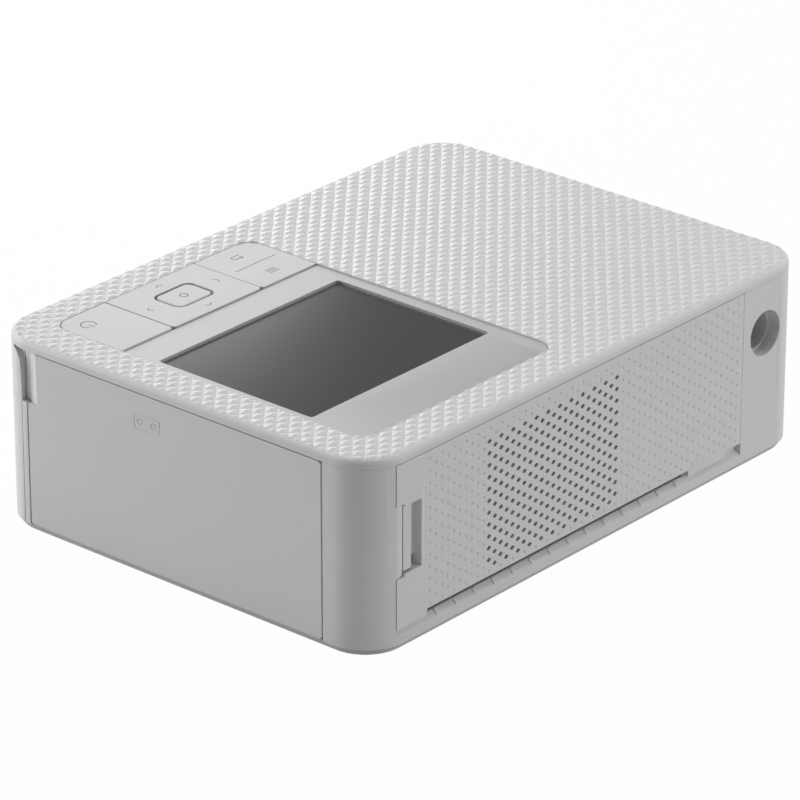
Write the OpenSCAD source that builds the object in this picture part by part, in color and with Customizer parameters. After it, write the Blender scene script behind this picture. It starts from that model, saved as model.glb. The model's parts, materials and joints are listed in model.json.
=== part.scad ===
// Compact photo printer: a shallow casing with a keypad and a screen in its top, an ink door in its
// right-hand side, a paper door in its front and a paper slot under a vent panel in its back.
// +X is the ink door's side, -Y the front, +Z up; the origin is under the middle, on the surface.

/* [Body] */
// Width over the casing, along X
body_w = 182.2; // [178:0.2:190]
// Depth over the casing, along Y
body_d = 133; // [130:0.5:140]
// Height from the surface to the top
body_h = 57.6; // [57.2:0.2:62]
// Radius of the casing's upright corners
corner_r = 12.8; // [10:0.2:13]
// Thickness of the casing's walls
wall = 2.2; // [1.8:0.1:2.4]
// Height of the top cover's edge band
cover_h = 2.7; // [2.4:0.1:3]
// Radius of the top cover's rim
rim_r = 1.6; // [0.6:0.1:1.8]
// Thickness of the base tray
base_h = 2.2; // [2:0.1:2.6]
// How far the base tray's edge stands in from the walls
base_inset = 0.8; // [0.3:0.1:1]
// Thickness of the patterned plate on the cover, up to its peaks
plate_h = 0.45; // [0.3:0.05:0.6]
// Smooth rim round the patterned plate
plate_inset = 0.8; // [0.8:0.1:2]

/* [Feet and screws] */
// Height of the rubber feet
foot_h = 1.4; // [1:0.1:2]
// Radius of the rubber feet
foot_r = 5; // [4:0.5:6]
// Distance of the feet from the casing's sides
foot_inset = 20; // [17:0.5:24]
// Radius of the casing screws' shanks
screw_r = 1.3; // [1:0.1:1.5]
// Distance of the casing screws from the sides
screw_inset = 8; // [7.6:0.1:8.4]
// Height of the screw bosses
boss_h = 10; // [8:0.5:14]

/* [Top window] */
// Width of the opening for the screen and the keys
window_w = 77.2; // [76:0.2:79]
// Radius of its corners
window_r = 5.5; // [3:0.5:7]
// Its distance from the right-hand side
window_right = 11.9; // [11:0.1:13]
// Its distance from the front
window_front = 10.75; // [10:0.25:12]
// Its distance from the back
window_rear = 12.5; // [12:0.25:14]
// How far the screen's bezel lies below the top
bezel_drop = 0.8; // [0.4:0.1:1.2]
// Width of the screen's opening
screen_w = 70.65; // [68:0.05:71]
// Depth of the screen's opening
screen_d = 53.5; // [50:0.5:56]
// Band of the bezel to the right of the screen
screen_right = 2.4; // [2:0.1:3]
// Band of the bezel in front of the screen
screen_front = 11; // [9:0.5:13]
// Thickness of the screen's glass
glass_t = 2.3; // [1.2:0.05:2.4]
// Thickness of the screen module
module_t = 3.5; // [3:0.1:3.8]

/* [Keys] */
// Depth of the row of keys
key_row_d = 25.65; // [25:0.05:27]
// Width of the return and menu key
back_key_w = 22.15; // [21:0.05:23]
// Width of the power key
power_key_w = 20.3; // [19:0.1:21]
// Width of the centre key
ok_w = 13.25; // [12:0.05:14]
// Depth of the centre key
ok_d = 9.65; // [9:0.05:10]
// Groove round the centre key
ok_groove = 0.8; // [0.5:0.1:1.1]
// Radius of the centre key's corners
ok_r = 2; // [1:0.1:3]
// Thickness of the keys
key_t = 1.6; // [1.2:0.1:1.8]
// How far the keys lie below the top
key_drop = 0.4; // [0.2:0.1:0.8]
// Travel of the keys
key_travel = 0.4; // [0.3:0.05:0.5]
// Gap between the keys
key_gap = 0.3; // [0.25:0.05:0.5]
// Distance of the key board below the cover's underside
key_board_drop = 4.85; // [4.6:0.05:5.2]
// Height of the keys' pivots above the key board
pivot_up = 4.6; // [4.2:0.1:4.8]

/* [Ink door] */
// Distance of the door's front edge from the front
ink_door_front = 13; // [12.9:0.1:16]
// Distance of the door's rear edge from the back
ink_door_rear = 16.5; // [15:0.5:18]
// Thickness of the two doors
door_t = 2.1; // [1.8:0.1:2.2]
// Gap round the doors
door_gap = 0.5; // [0.5:0.05:0.7]
// Distance of the hinge axes from the outer faces
hinge_in = 2; // [1.9:0.05:2.1]
// Distance of the hinge axes from the doors' edges
hinge_from_edge = 5; // [4.8:0.1:6]
// Radius of the hinge barrels
barrel_r = 1.7; // [1.5:0.05:1.8]
// Radius of the hinge pins
pin_r = 0.75; // [0.6:0.05:0.9]
// Length of the hinge pins in the doors
pin_in_door = 6; // [4:0.5:8]
// Running clearance of pins and shafts
run_gap = 0.05; // [0.03:0.01:0.08]
// Height of the finger scoop
scoop_h = 15; // [10:0.5:20]
// Depth of the finger scoop
scoop_deep = 1.6; // [0.8:0.1:1.7]

/* [Paper door] */
// How far the door reaches past the chassis on the left
paper_door_left = 3.5; // [3:0.1:5]
// How far it reaches past the chassis on the right
paper_door_right = 2.2; // [2:0.1:3]
// Band of the front over the door
paper_door_top = 8.45; // [8:0.05:12]
// Height of the sill under the door, above the base tray
sill_h = 2.4; // [2:0.1:3]
// Thickness of the bay's walls
liner_t = 1.5; // [1:0.1:1.8]

/* [Back] */
// Distance of the vent panel from the left-hand side
grille_left = 28.2; // [28:0.1:32]
// Distance of the vent panel from the right-hand side
grille_right = 10.25; // [10:0.25:11]
// Height of the vent panel's lower edge
grille_low = 9.6; // [9.3:0.1:10.5]
// Height of the paper slot
slot_h = 1.85; // [1.5:0.05:2]
// How far the paper slot reaches past the paper on each side
slot_side = 3.65; // [2:0.05:5]
// Height of the lip under the slot
lip_z = 6.1; // [5:0.1:6.5]
// Depth of the recess over the lip
ramp_d = 1.6; // [1:0.1:1.7]
// Ribs on the lip
ramp_ribs = 14; // [8:1:18]
// Columns of vent holes
vent_cols = 12; // [8:1:14]
// Distance of the vent holes from the right-hand side
vent_right = 45.8; // [44:0.1:60]
// Plain band over the vent holes
vent_top = 6; // [4:0.1:12]
// Plain band under the vent holes
vent_bottom = 3.1; // [2.5:0.1:12]
// Pitch of the vent holes along X
vent_pitch_x = 4.75; // [4.4:0.05:4.8]
// Pitch of the staggered rows along Z
vent_pitch_z = 1.7; // [1.6:0.01:1.75]
// Width of a vent hole
vent_w = 1.95; // [1.4:0.05:2.1]
// Height of a vent hole
vent_h = 1.45; // [1:0.05:1.55]
// Width of the battery contact recess
contact_w = 6.5; // [6:0.1:7]
// Height of the battery contact recess
contact_h = 19.1; // [17:0.1:21]

/* [Power inlet] */
// Radius of the inlet's recess
inlet_r = 6.55; // [6.2:0.05:6.8]
// Depth of the wide part of the inlet's recess
inlet_step = 3.8; // [3:0.1:5]
// Whole depth of the inlet's recess
inlet_d = 8; // [6:0.5:9]
// Height of the inlet
inlet_z = 39.4; // [38:0.2:40]
// Distance of the inlet from the left-hand side
inlet_left = 18.45; // [18:0.05:20]
// Radius of the hole for the plug
plug_r = 2.75; // [2.5:0.05:3]
// Radius of the centre pin
plug_pin_r = 0.85; // [0.6:0.05:1]

/* [Front sockets] */
// Width of a memory card, with room to slide
card_w = 24.6; // [24.4:0.1:25]
// Thickness of a memory card, with room to slide
card_t = 2.5; // [2.3:0.1:2.7]
// Depth of the card slot
card_d = 26; // [22:0.5:27]
// Distance of the sockets from the left-hand side
socket_left = 22.6; // [21:0.1:24]
// Height of the board between the sockets
socket_z = 17.5; // [16:0.5:20]
// Width of the small socket
usb_w = 9; // [8.9:0.1:9.2]
// Height of the small socket
usb_h = 3.3; // [3.2:0.1:3.4]

/* [Chassis] */
// Distance of the left plate from the casing's left side
chassis_left_in = 47.6; // [47:0.1:50]
// Distance of the right plate from the casing's right side
chassis_right_in = 17.1; // [17:0.1:18]
// Thickness of the side plates
plate_t = 1.2; // [1:0.1:1.4]
// Distance of the side plates' upper edge below the cover
chassis_drop = 8.45; // [8.4:0.05:9]
// Distance of the side plates' front edge from the platen
chassis_front = 49.5; // [49:0.1:52]
// Distance of their rear edge from the back
chassis_rear = 6; // [5.8:0.1:7]
// Distance of the platen from the back
platen_in = 46.5; // [46:0.1:47]
// Radius of the platen roller
platen_r = 4.8; // [4.4:0.1:5]
// Height of the paper under the print head
nip_z = 15.2; // [15:0.1:15.6]
// Distance from the platen to the capstan
capstan_step = 18; // [17.4:0.1:18.4]
// Radius of the capstan
capstan_r = 2.8; // [2.5:0.1:3]
// Radius of the pinch roller
pinch_r = 2; // [1.8:0.1:2.1]
// Radius of the pick roller
pick_r = 6.5; // [6:0.1:6.8]
// Length of the pick roller's tyre
pick_w = 30; // [20:1:40]
// Distance from the platen to the pick roller
pick_step = 42; // [41:0.1:43]
// Distance from the platen to the print head's pivot
pivot_step = 36; // [35:0.1:37]
// Space between the print head and the left plate
head_left = 6.9; // [6.8:0.1:8]
// Space between the print head and the right plate
head_right = 8.2; // [7:0.1:9]
// Angle by which the print head lifts
head_lift = 8; // [5:0.5:8]
// Fins on the heat sink
fins = 5; // [3:1:6]

/* [Ink cassette] */
// Height of the supply tube above the paper
tube_over = 3.8; // [3.6:0.1:4.2]
// How much smaller the take-up tube's radius is
tube_less = 0.5; // [0:0.1:1]
// Thickness of the tubes
tube_t = 1; // [0.8:0.1:1.2]
// Distance of each tube from the platen, along Y
tube_step = 22; // [21.6:0.1:22.4]
// Length of the grip outside the side plate
grip_w = 5; // [4.6:0.1:5.2]
// Space between the full roll and its tube
roll_space = 2; // [1.6:0.1:4]
// Radius of the spools' cores
core_r = 3; // [2.8:0.1:3.4]
// Thickness of the ribbon wound on the take-up core
used_wrap = 1.5; // [0.5:0.1:3]
// Thickness drawn for the ribbon
ribbon_t = 0.1; // [0.05:0.01:0.15]

/* [Gears] */
// Gear module
gear_m = 0.5; // [0.48:0.01:0.5]
// Width of the gears
gear_w = 3; // [2:0.1:3.4]
// Space between the side plate and the motor bracket
train_gap = 4.8; // [4.6:0.1:5.2]
// Radius of the motors
motor_r = 9; // [8:0.1:9.2]
// Length of the motors
motor_len = 20; // [16:0.5:24]

/* [Boards] */
// Thickness of the circuit boards
board_t = 1.6; // [1.2:0.1:1.8]
// Distance of the main board below the side plates' upper edge
board_drop = 2; // [1.6:0.1:2.2]
// Space between the main board and the left wall
board_left = 2.1; // [1:0.1:4]
// Space between the main board and the front wall
board_front = 5.3; // [3:0.1:10]
// Radius of the posts under the boards
post_r = 3; // [2.5:0.1:3.2]
// Thickness of the flat cables
cable_t = 0.2; // [0.15:0.05:0.3]

/* [Hidden] */
$fn = 72;

eps = 0.01;
touch_gap = 0.3;
seam_gap = 0.15;
push_gap = 0.02;

right = body_w / 2;
left = -right;
rear = body_d / 2;
front = -rear;
floor_z = foot_h + base_h;
seam_z = body_h - plate_h - cover_h;
corner_signs = [[-1, -1], [1, -1], [1, 1], [-1, 1]];

// screws through the base tray
head_r = screw_r * 2;
head_h = base_h / 2;
boss_r = screw_r + 2.7;

// window, screen and keys
window_x1 = right - window_right;
window_x0 = window_x1 - window_w;
window_y0 = front + window_front;
window_y1 = rear - window_rear;
keys_y1 = window_y0 + key_row_d;
bezel_z = body_h - bezel_drop;
bezel_lap = 1.5;
bezel_lap_h = 0.8;
module_top = seam_z - bezel_lap_h;
screen_x1 = window_x1 - screen_right;
screen_x0 = screen_x1 - screen_w;
screen_y0 = keys_y1 + screen_front;
screen_y1 = screen_y0 + screen_d;
key_z1 = body_h - key_drop;
key_z0 = key_z1 - key_t;
back_x1 = window_x0 + back_key_w;
power_x0 = window_x1 - power_key_w;
keys_cy = (window_y0 + keys_y1) / 2;
nav_cx = (back_x1 + power_x0) / 2;
back_cx = (window_x0 + back_x1) / 2;
power_cx = (power_x0 + window_x1) / 2;
key_r = 1.2;
key_board_t = 1.2;
key_board_top = seam_z - key_board_drop;
key_board_lap = 6;
switch_w = 4;
switch_h = 1.6;
plunger_h = 0.6;
switch_top = key_board_top + switch_h + plunger_h;
stem_z = switch_top + key_travel + 0.1;
stem_r = 1.2;
pivot_z = key_board_top + pivot_up;
pivot_pin_r = 0.6;
post_w = 2;
post_far = 9.5;
gimbal_r = 8;
gimbal_in = 6.5;
gimbal_h = 1.2;
side_reach = 14;
end_reach = 10;
end_side = 5;

// ink door on the right
ink_y0 = front + ink_door_front;
ink_y1 = rear - ink_door_rear;
end_gap = 0.3;
ink_z0 = floor_z + end_gap;
ink_z1 = seam_z - end_gap;
ink_corner_r = 1.2;
ink_axis_x = right - hinge_in;
ink_axis_y = ink_y1 - hinge_from_edge;
scoop_y = ink_y0 - door_gap / 2;
scoop_z = seam_z - scoop_h;
scoop_side = 2.1;
scoop_wall = scoop_y - scoop_side;
grip_y = scoop_wall + door_gap;
scoop_w = 5.1;
grip_back = 1;
scoop_r = (scoop_w * scoop_w + scoop_deep * scoop_deep) / (2 * scoop_deep);
scoop_x = right + scoop_r - scoop_deep;
scoop_edge = [[0, 0], [0.2, scoop_h - 7], [0.7, scoop_h - 3], [2.1, scoop_h - 1.3], [3.7, scoop_h - 0.6]];
post_line = 0.3;

// paper door in front, with the bay behind it
platen_y = rear - platen_in;
chassis_y0 = platen_y - chassis_front;
chassis_x1 = right - chassis_right_in;
chassis_x0 = left + chassis_left_in;
inner_x0 = chassis_x0 + plate_t;
inner_x1 = chassis_x1 - plate_t;
head_x0 = inner_x0 + head_left;
head_x1 = inner_x1 - head_right;
paper_cx = (head_x0 + head_x1) / 2;
door_x0 = chassis_x0 - paper_door_left;
door_x1 = chassis_x1 + paper_door_right;
door_z0 = floor_z + sill_h;
door_z1 = seam_z - paper_door_top;
paper_axis_y = front + hinge_in;
paper_axis_z = door_z0 + hinge_from_edge;
jamb_w = 5.5;
jamb_deep = 4.4;
jamb_h = 5;
barrel_len = 8;
bay_x0 = door_x0 + liner_t;
bay_x1 = door_x1 - liner_t;
bay_floor_t = 2;
bay_z0 = floor_z + bay_floor_t;
bay_z1 = door_z1 - liner_t;
bay_y0 = front + wall + 0.2;
bay_y1 = chassis_y0 - 1.6;
hinge_clear_y = paper_axis_y + norm([hinge_in, hinge_from_edge]) + 0.6;
hinge_clear_z = paper_axis_z + barrel_r + 3;

// back
grille_x1 = right - grille_right;
grille_x0 = left + grille_left;
grille_w = grille_x1 - grille_x0;
grille_lap = 1.5;
grille_lap_t = 1.2;
lap_drop = 1.2;
slot_x0 = head_x0 - slot_side;
slot_x1 = head_x1 + slot_side;
slot_z0 = grille_low - slot_h;
pocket_w = 7;
rib_w = 0.8;
rib_h = 0.5;
tab_w = 3.25;
tab_dish = 0.9;
contact_x1 = grille_x1 - tab_w;
contact_x0 = contact_x1 - contact_w;
contact_z0 = grille_low + 13.4;
tab_lap = 0.6;
tab_x0 = contact_x1;
contact_plate_t = 2.5;
contact_bar_w = 3.1;
contact_bar_in = 0.8;
contact_margin = 1.2;
contact_hole_h = 2.6;
vent_x1 = right - vent_right - vent_w / 2;
vent_z1 = seam_z - vent_top;
vent_rows = floor((vent_z1 - grille_low - vent_bottom) / vent_pitch_z) + 1;
vent_cut = 0.12;
collar_r = inlet_r + 1.25;
inlet_ledge = 0.85;
inlet_x = left + inlet_left;
jack_w = 2 * collar_r - 1.6;
jack_d = 10;
plug_d = 8.5;

// front sockets
socket_cx = left + socket_left;
socket_y0 = front + wall;
card_wall = 1.2;
socket_board_w = 30;
reader_back = 1;
board_back = 1.7;
socket_board_d = 29;
usb_shell = 0.35;
usb_d = 7.5;
socket_post_y = socket_y0 + socket_board_d - 4;

// chassis and paper path
platen_z = nip_z - platen_r;
capstan_y = platen_y + capstan_step;
capstan_top = nip_z - 2.7;
capstan_z = capstan_top - capstan_r;
pinch_z = capstan_top + touch_gap + pinch_r;
pick_y = platen_y - pick_step;
pick_z = nip_z - 0.7 + pick_r;
shaft_r = 2;
pinch_end_r = 1;
pick_shaft_r = 2.5;
chassis_y1 = rear - chassis_rear;
chassis_top = seam_z - chassis_drop;
foot_w = 7;
foot_len = 9;
chassis_feet = [chassis_y0 + 6, chassis_y1 - 10.5];
plate_screw_r = 1.2;
stay_r = 2;
stay_in = 2.5;
stay_spots = [
    [chassis_y0 + stay_r + stay_in, chassis_top - stay_r - stay_in],
    [chassis_y1 - stay_in, nip_z + 8.8]
];
deck_t = 1;
deck_z = nip_z - 2.8;
deck_y0 = chassis_y0 + 0.5;
deck_y1 = platen_y - platen_r - 2;
guide_y0 = capstan_y + capstan_r + 1.4;
guide_y1 = rear - wall - 0.4;
guide_gap = 2.8;

// print head
ribbon_z = nip_z + touch_gap;
head_z0 = ribbon_z + ribbon_t + touch_gap;
strip_t = 1.5;
strip_d = 6;
head_d = 12;
bar_z0 = head_z0 + strip_t;
bar_z1 = bar_z0 + 8.6;
sink_base = 2;
sink_drop = 4;
arm_t = 1.5;
arm_h = 4;
arm_eye_r = 4;
head_axis_y = platen_y + pivot_step;
head_axis_z = chassis_top - arm_eye_r - 1;
arm_z0 = head_axis_z - 1;
sink_z1 = arm_z0 - sink_drop;

// ink cassette
arm_gap = 1;
supply_tube_r = (arm_z0 - arm_gap - nip_z - tube_over) / 2;
take_up_tube_r = supply_tube_r - tube_less;
tube_z = nip_z + tube_over + supply_tube_r;
supply_y = platen_y + tube_step;
take_up_y = platen_y - tube_step;
cassette_x0 = inner_x0 + 1.1;
end_t = 1.4;
grip_x0 = chassis_x1 + 0.5;
grip_x1 = grip_x0 + grip_w;
link_z0 = nip_z + 1;
link_h = 3.8;
flange_r = take_up_tube_r - tube_t - 0.5;
supply_roll_r = supply_tube_r - tube_t - roll_space;
used_roll_r = core_r + used_wrap;
ribbon_x0 = head_x0 + 0.4;
ribbon_x1 = head_x1 - 1.6;
roll_clear = 0.3;
ribbon_bend = 7;
dog_r = 1.6;
dog_reach = 3;
dog_gap = 0.3;
exit_angle = 250;
exit_half = 16;
cassette_clear = 1;

// gears and motors, left of the left plate
gear_x1 = chassis_x0 - (train_gap - gear_w) / 2;
gear_x0 = gear_x1 - gear_w;
bracket_x1 = chassis_x0 - train_gap;
bracket_x0 = bracket_x1 - plate_t;
backlash = 0.16;
pressure = 20;
pinion_teeth = 12;
capstan_teeth = 20;
take_up_teeth = 30;
pick_teeth = 30;
idler_teeth = 16;
pinion_bore = 1;
feed_angle = 60;
ribbon_angle = -40;
feed_pos = [capstan_y, capstan_z] + gear_m * (capstan_teeth + pinion_teeth) / 2 * [cos(feed_angle), sin(feed_angle)];
take_up_pos = [take_up_y, tube_z];
ribbon_pos = take_up_pos + gear_m * (take_up_teeth + pinion_teeth) / 2 * [cos(ribbon_angle), sin(ribbon_angle)];
pick_pos = [pick_y, pick_z];
idler_pos = apex(take_up_pos, gear_m * (take_up_teeth + idler_teeth) / 2, pick_pos, gear_m * (pick_teeth + idler_teeth) / 2);
feed_phase = mesh(capstan_teeth, 0, pinion_teeth, feed_angle);
ribbon_phase = mesh(take_up_teeth, 0, pinion_teeth, ribbon_angle);
idler_heading = heading(take_up_pos, idler_pos);
idler_phase = mesh(take_up_teeth, 0, idler_teeth, idler_heading);
pick_phase = mesh(idler_teeth, idler_phase, pick_teeth, heading(idler_pos, pick_pos));
bracket_y0 = take_up_y - 14;
bracket_y1 = capstan_y + 14;
board_z = chassis_top - board_drop;
bracket_z0 = floor_z + 3.4;
bracket_z1 = board_z - 0.8;
pillar_r = 1.8;
pillar_in = 3;
pillars = [
    [bracket_y0 + pillar_in, bracket_z1 - pillar_in], [bracket_y1 - pillar_in, bracket_z1 - pillar_in],
    [bracket_y1 - pillar_in, bracket_z0 + pillar_in], [platen_y - 12, bracket_z0 + 5]
];

// boards
board_x1 = bracket_x1 + 0.5;
board_x0 = left + wall + board_left;
board_y1 = rear - inlet_d - jack_d - 1.5;
board_y0 = front + wall + board_front;
post_in = 1.5;
post_xs = [board_x0 + post_r + post_in, bracket_x0 - post_r - 0.5];
post_ys = [socket_y0 + socket_board_d + post_r + 2, platen_y + 4];
cable_w = 12;
display_cable_y = screen_y0 + 13;
key_cable_y = keys_cy - 6;

// Rounded rectangle about the origin.
module round_rect(w, d, r) {
    square([w - 2 * r, d], center = true);
    square([w, d - 2 * r], center = true);
    for (s = corner_signs) {
        translate([s[0] * (w / 2 - r), s[1] * (d / 2 - r)]) circle(r);
    }
}

// Rounded rectangle between two corners.
module round_span(x0, x1, y0, y1, r) {
    translate([(x0 + x1) / 2, (y0 + y1) / 2]) round_rect(x1 - x0, y1 - y0, r);
}

// Diamond of the given overall size, its four points cut off by a share of its size.
module cut_diamond(w, h, cut) {
    flat_w = w / 2 * cut / (1 - cut);
    flat_h = h / 2 * cut / (1 - cut);
    polygon([
        [w / 2, flat_h], [flat_w, h / 2], [-flat_w, h / 2], [-w / 2, flat_h],
        [-w / 2, -flat_h], [-flat_w, -h / 2], [flat_w, -h / 2], [w / 2, -flat_h]
    ]);
}

// Box between two limits on each axis.
module span(x, y, z) {
    translate([x[0], y[0], z[0]]) cube([x[1] - x[0], y[1] - y[0], z[1] - z[0]]);
}

module rod_x(pos, r, x0, x1) {
    translate([x0, pos[0], pos[1]]) rotate([0, 90, 0]) cylinder(h = x1 - x0, r = r);
}

module rod_y(pos, r, y0, y1) {
    translate([pos[0], y0, pos[1]]) rotate([-90, 0, 0]) cylinder(h = y1 - y0, r = r);
}

module rod_z(pos, r, z0, z1) {
    translate([pos[0], pos[1], z0]) cylinder(h = z1 - z0, r = r);
}

// A flat shape drawn in Y and Z, thickened along X.
module side_plate(x0, x1) {
    translate([x0, 0, 0]) rotate([90, 0, 90]) linear_extrude(x1 - x0) children();
}

// A flat shape drawn in X and Z, thickened along Y.
module upright_plate(y0, y1) {
    translate([0, y1, 0]) rotate([90, 0, 0]) linear_extrude(y1 - y0) children();
}

// Slab with upright round corners and one rounded edge, at its top.
module rim_slab(w, d, r, h, f) {
    for (s = corner_signs) {
        translate([s[0] * (w / 2 - r), s[1] * (d / 2 - r), 0]) rotate_extrude() rim_profile(r, h, f);
    }
    for (s = [-1, 1]) {
        translate([s * (w / 2 - r), s * (d / 2 - r), 0]) rotate([90, 0, 90 - 90 * s])
            linear_extrude(d - 2 * r) rim_profile(r, h, f);
        translate([-s * (w / 2 - r), s * (d / 2 - r), 0]) rotate([90, 0, 90 * s])
            linear_extrude(w - 2 * r) rim_profile(r, h, f);
    }
    translate([r - w / 2, r - d / 2, 0]) cube([w - 2 * r, d - 2 * r, h]);
}

module rim_profile(r, h, f) {
    square([r - f, h]);
    square([r, h - f]);
    translate([r - f, h - f]) intersection() {
        circle(f);
        square([f, f]);
    }
}

// Gears: involute flanks, drawn with a tooth's centre at the phase angle.
function involute(a) = tan(a) - a * PI / 180;
function half_tooth(z, r) = let (rb = gear_m * z / 2 * cos(pressure))
    90 / z - backlash / (gear_m * z) * 180 / PI
    + (involute(pressure) - (r > rb ? involute(acos(rb / r)) : 0)) * 180 / PI;
function tooth(z, centre) = let (
    rp = gear_m * z / 2,
    radii = [rp - 1.15 * gear_m, rp - 0.3 * gear_m, rp + 0.3 * gear_m, rp + 0.85 * gear_m]
) concat(
    [for (r = radii) r * [cos(centre - half_tooth(z, r)), sin(centre - half_tooth(z, r))]],
    [for (i = [3:-1:0]) radii[i] * [cos(centre + half_tooth(z, radii[i])), sin(centre + half_tooth(z, radii[i]))]]
);
function gear_points(z, phase) = [for (i = [0:z - 1], p = tooth(z, phase + i * 360 / z)) p];
function mesh(z1, phase1, z2, direction) =
    direction + 180 + ((direction - phase1) * z1 / 360 - 0.5) * 360 / z2;
function heading(a, b) = atan2(b[1] - a[1], b[0] - a[0]);

// The upper crossing of two circles.
function apex(a, ra, b, rb) = let (
    d = norm(b - a),
    u = (b - a) / d,
    along = (ra * ra - rb * rb + d * d) / (2 * d),
    up = sqrt(ra * ra - along * along)
) a + along * u + up * [u[1], -u[0]];

module gear(pos, z, phase) {
    side_plate(gear_x0, gear_x1) translate(pos) polygon(gear_points(z, phase));
}

// Where a ribbon from point p meets the underside of a roll.
function roll_meets(p, c, r, side) = let (
    d = norm(c - p),
    a = heading(p, c) - side * asin(r / d)
) p + sqrt(d * d - r * r) * [cos(a), sin(a)];

module window_2d(inset) {
    round_span(window_x0 + inset, window_x1 - inset, window_y0 + inset, window_y1 - inset, window_r - inset);
}

module screw_spots() {
    for (s = corner_signs) {
        translate([s[0] * (right - screw_inset), s[1] * (rear - screw_inset), 0]) children();
    }
}

module base_tray() color("gainsboro") {
    difference() {
        translate([0, 0, floor_z]) mirror([0, 0, 1])
            rim_slab(body_w - 2 * base_inset, body_d - 2 * base_inset, corner_r - base_inset, base_h, rim_r);
        screw_spots() translate([0, 0, foot_h - eps]) {
            cylinder(h = head_h + 0.2 + eps, r = head_r + 0.2);
            cylinder(h = base_h + 2 * eps, r = screw_r + run_gap);
        }
        rod_z([ink_axis_x, ink_axis_y], pin_r + push_gap, foot_h + 0.5, floor_z + eps);
        chassis_screw_spots() rod_z([0, 0], plate_screw_r, foot_h + 0.5, floor_z + eps);
    }
    for (x = post_xs, y = post_ys) {
        rod_z([x, y], post_r, floor_z - eps, board_z);
    }
    for (s = [-1, 1]) {
        rod_z([socket_cx + s * (socket_board_w / 2 - 4), socket_post_y], post_r, floor_z - eps, socket_z);
    }
}

module rubber_feet() color("dimgray") {
    for (s = corner_signs) {
        rod_z([s[0] * (right - foot_inset), s[1] * (rear - foot_inset)], foot_r, 0, foot_h);
    }
}

module casing_screws() color("silver") {
    screw_spots() {
        rod_z([0, 0], head_r, foot_h + 0.2, foot_h + 0.2 + head_h);
        rod_z([0, 0], screw_r, foot_h + head_h, floor_z + boss_h - 2);
    }
}

module casing_rear_cuts() {
    upright_plate(rear - wall - lap_drop, rear + eps) difference() {
        translate([grille_x0, grille_low]) square([grille_w, body_h]);
        translate([tab_x0 + seam_gap, contact_z0 - tab_lap])
            square([body_w, contact_h + 2 * tab_lap]);
    }
    upright_plate(rear - wall - eps, rear + eps)
        translate([slot_x0, slot_z0]) square([slot_x1 - slot_x0, grille_low - slot_z0 + eps]);
    difference() {
        side_plate(grille_x0, grille_x1) polygon([
            [rear + 1, lip_z], [rear, lip_z], [rear - ramp_d, slot_z0],
            [rear - ramp_d, grille_low + eps], [rear + 1, grille_low + eps]
        ]);
        for (i = [0:ramp_ribs - 1]) {
            x = slot_x0 + (i + 0.5) * (slot_x1 - slot_x0) / ramp_ribs;
            side_plate(x - rib_w / 2, x + rib_w / 2) polygon([
                [rear - ramp_d, lip_z], [rear - 0.1, lip_z], [rear - 0.3, lip_z + rib_h], [rear - ramp_d, slot_z0 + rib_h]
            ]);
        }
    }
    translate([0, 0, contact_z0 - tab_lap]) linear_extrude(contact_h + 2 * tab_lap) polygon([
        [tab_x0, rear - tab_dish], [tab_x0 - 1, rear + 1], [grille_x1, rear + 1], [grille_x1, rear]
    ]);
}

module main_casing() color("whitesmoke") difference() {
    union() {
        difference() {
            translate([0, 0, floor_z]) linear_extrude(seam_z - floor_z) round_rect(body_w, body_d, corner_r);
            translate([0, 0, floor_z - 1]) linear_extrude(seam_z - floor_z + 2)
                round_rect(body_w - 2 * wall, body_d - 2 * wall, corner_r - wall);
            casing_rear_cuts();
            span([right - wall - eps, right + 1], [ink_y0 - door_gap, ink_y1 + door_gap], [floor_z - 1, seam_z + 1]);
            span([door_x0 - door_gap, door_x1 + door_gap], [front - 1, front + wall + eps],
                [door_z0 - door_gap, door_z1 + door_gap]);
            upright_plate(front - 1, front + wall + eps) {
                translate([socket_cx - card_w / 2, socket_z + board_t + card_wall]) square([card_w, card_t]);
                translate([socket_cx, socket_z - usb_h / 2]) round_rect(usb_w, usb_h, usb_h / 2 - eps);
            }
        }
        screw_spots() rod_z([0, 0], boss_r, floor_z, floor_z + boss_h);
        for (x = [door_x0 - door_gap - jamb_w, door_x1 + door_gap]) {
            span([x, x + jamb_w], [front + 0.6, front + jamb_deep], [paper_axis_z - jamb_h / 2, paper_axis_z + jamb_h / 2]);
        }
        rod_y([inlet_x, inlet_z], collar_r, rear - inlet_d, rear - wall / 2);
    }
    screw_spots() rod_z([0, 0], screw_r + push_gap, floor_z - 1, floor_z + boss_h - 1);
    rod_y([inlet_x, inlet_z], inlet_r, rear - inlet_step, rear + 1);
    rod_y([inlet_x, inlet_z], inlet_r - inlet_ledge, rear - inlet_d - 1, rear);
    rod_x([paper_axis_y, paper_axis_z], pin_r + push_gap, door_x0 - door_gap - jamb_w + 1, door_x1 + door_gap + jamb_w - 1);
    span([right - 2 * post_line, right + 1], [scoop_wall - post_line, scoop_wall], [floor_z - 1, scoop_z + eps]);
    span([right - wall - grip_back, right + 1], [scoop_wall, ink_y0], [scoop_z, seam_z + 1]);
    scoop_side_cut();
}

// Side of the finger scoop in the casing, flared towards the top.
module scoop_side_cut() difference() {
    side_plate(right - corner_r, right + 1) polygon([
        for (p = scoop_edge) [scoop_wall - p[0], scoop_z + p[1]],
        [scoop_wall - scoop_edge[4][0], body_h], [scoop_wall + eps, body_h], [scoop_wall + eps, scoop_z]
    ]);
    linear_extrude(body_h) round_rect(body_w - 2 * scoop_deep, body_d - 2 * scoop_deep, corner_r - scoop_deep);
}

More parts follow.
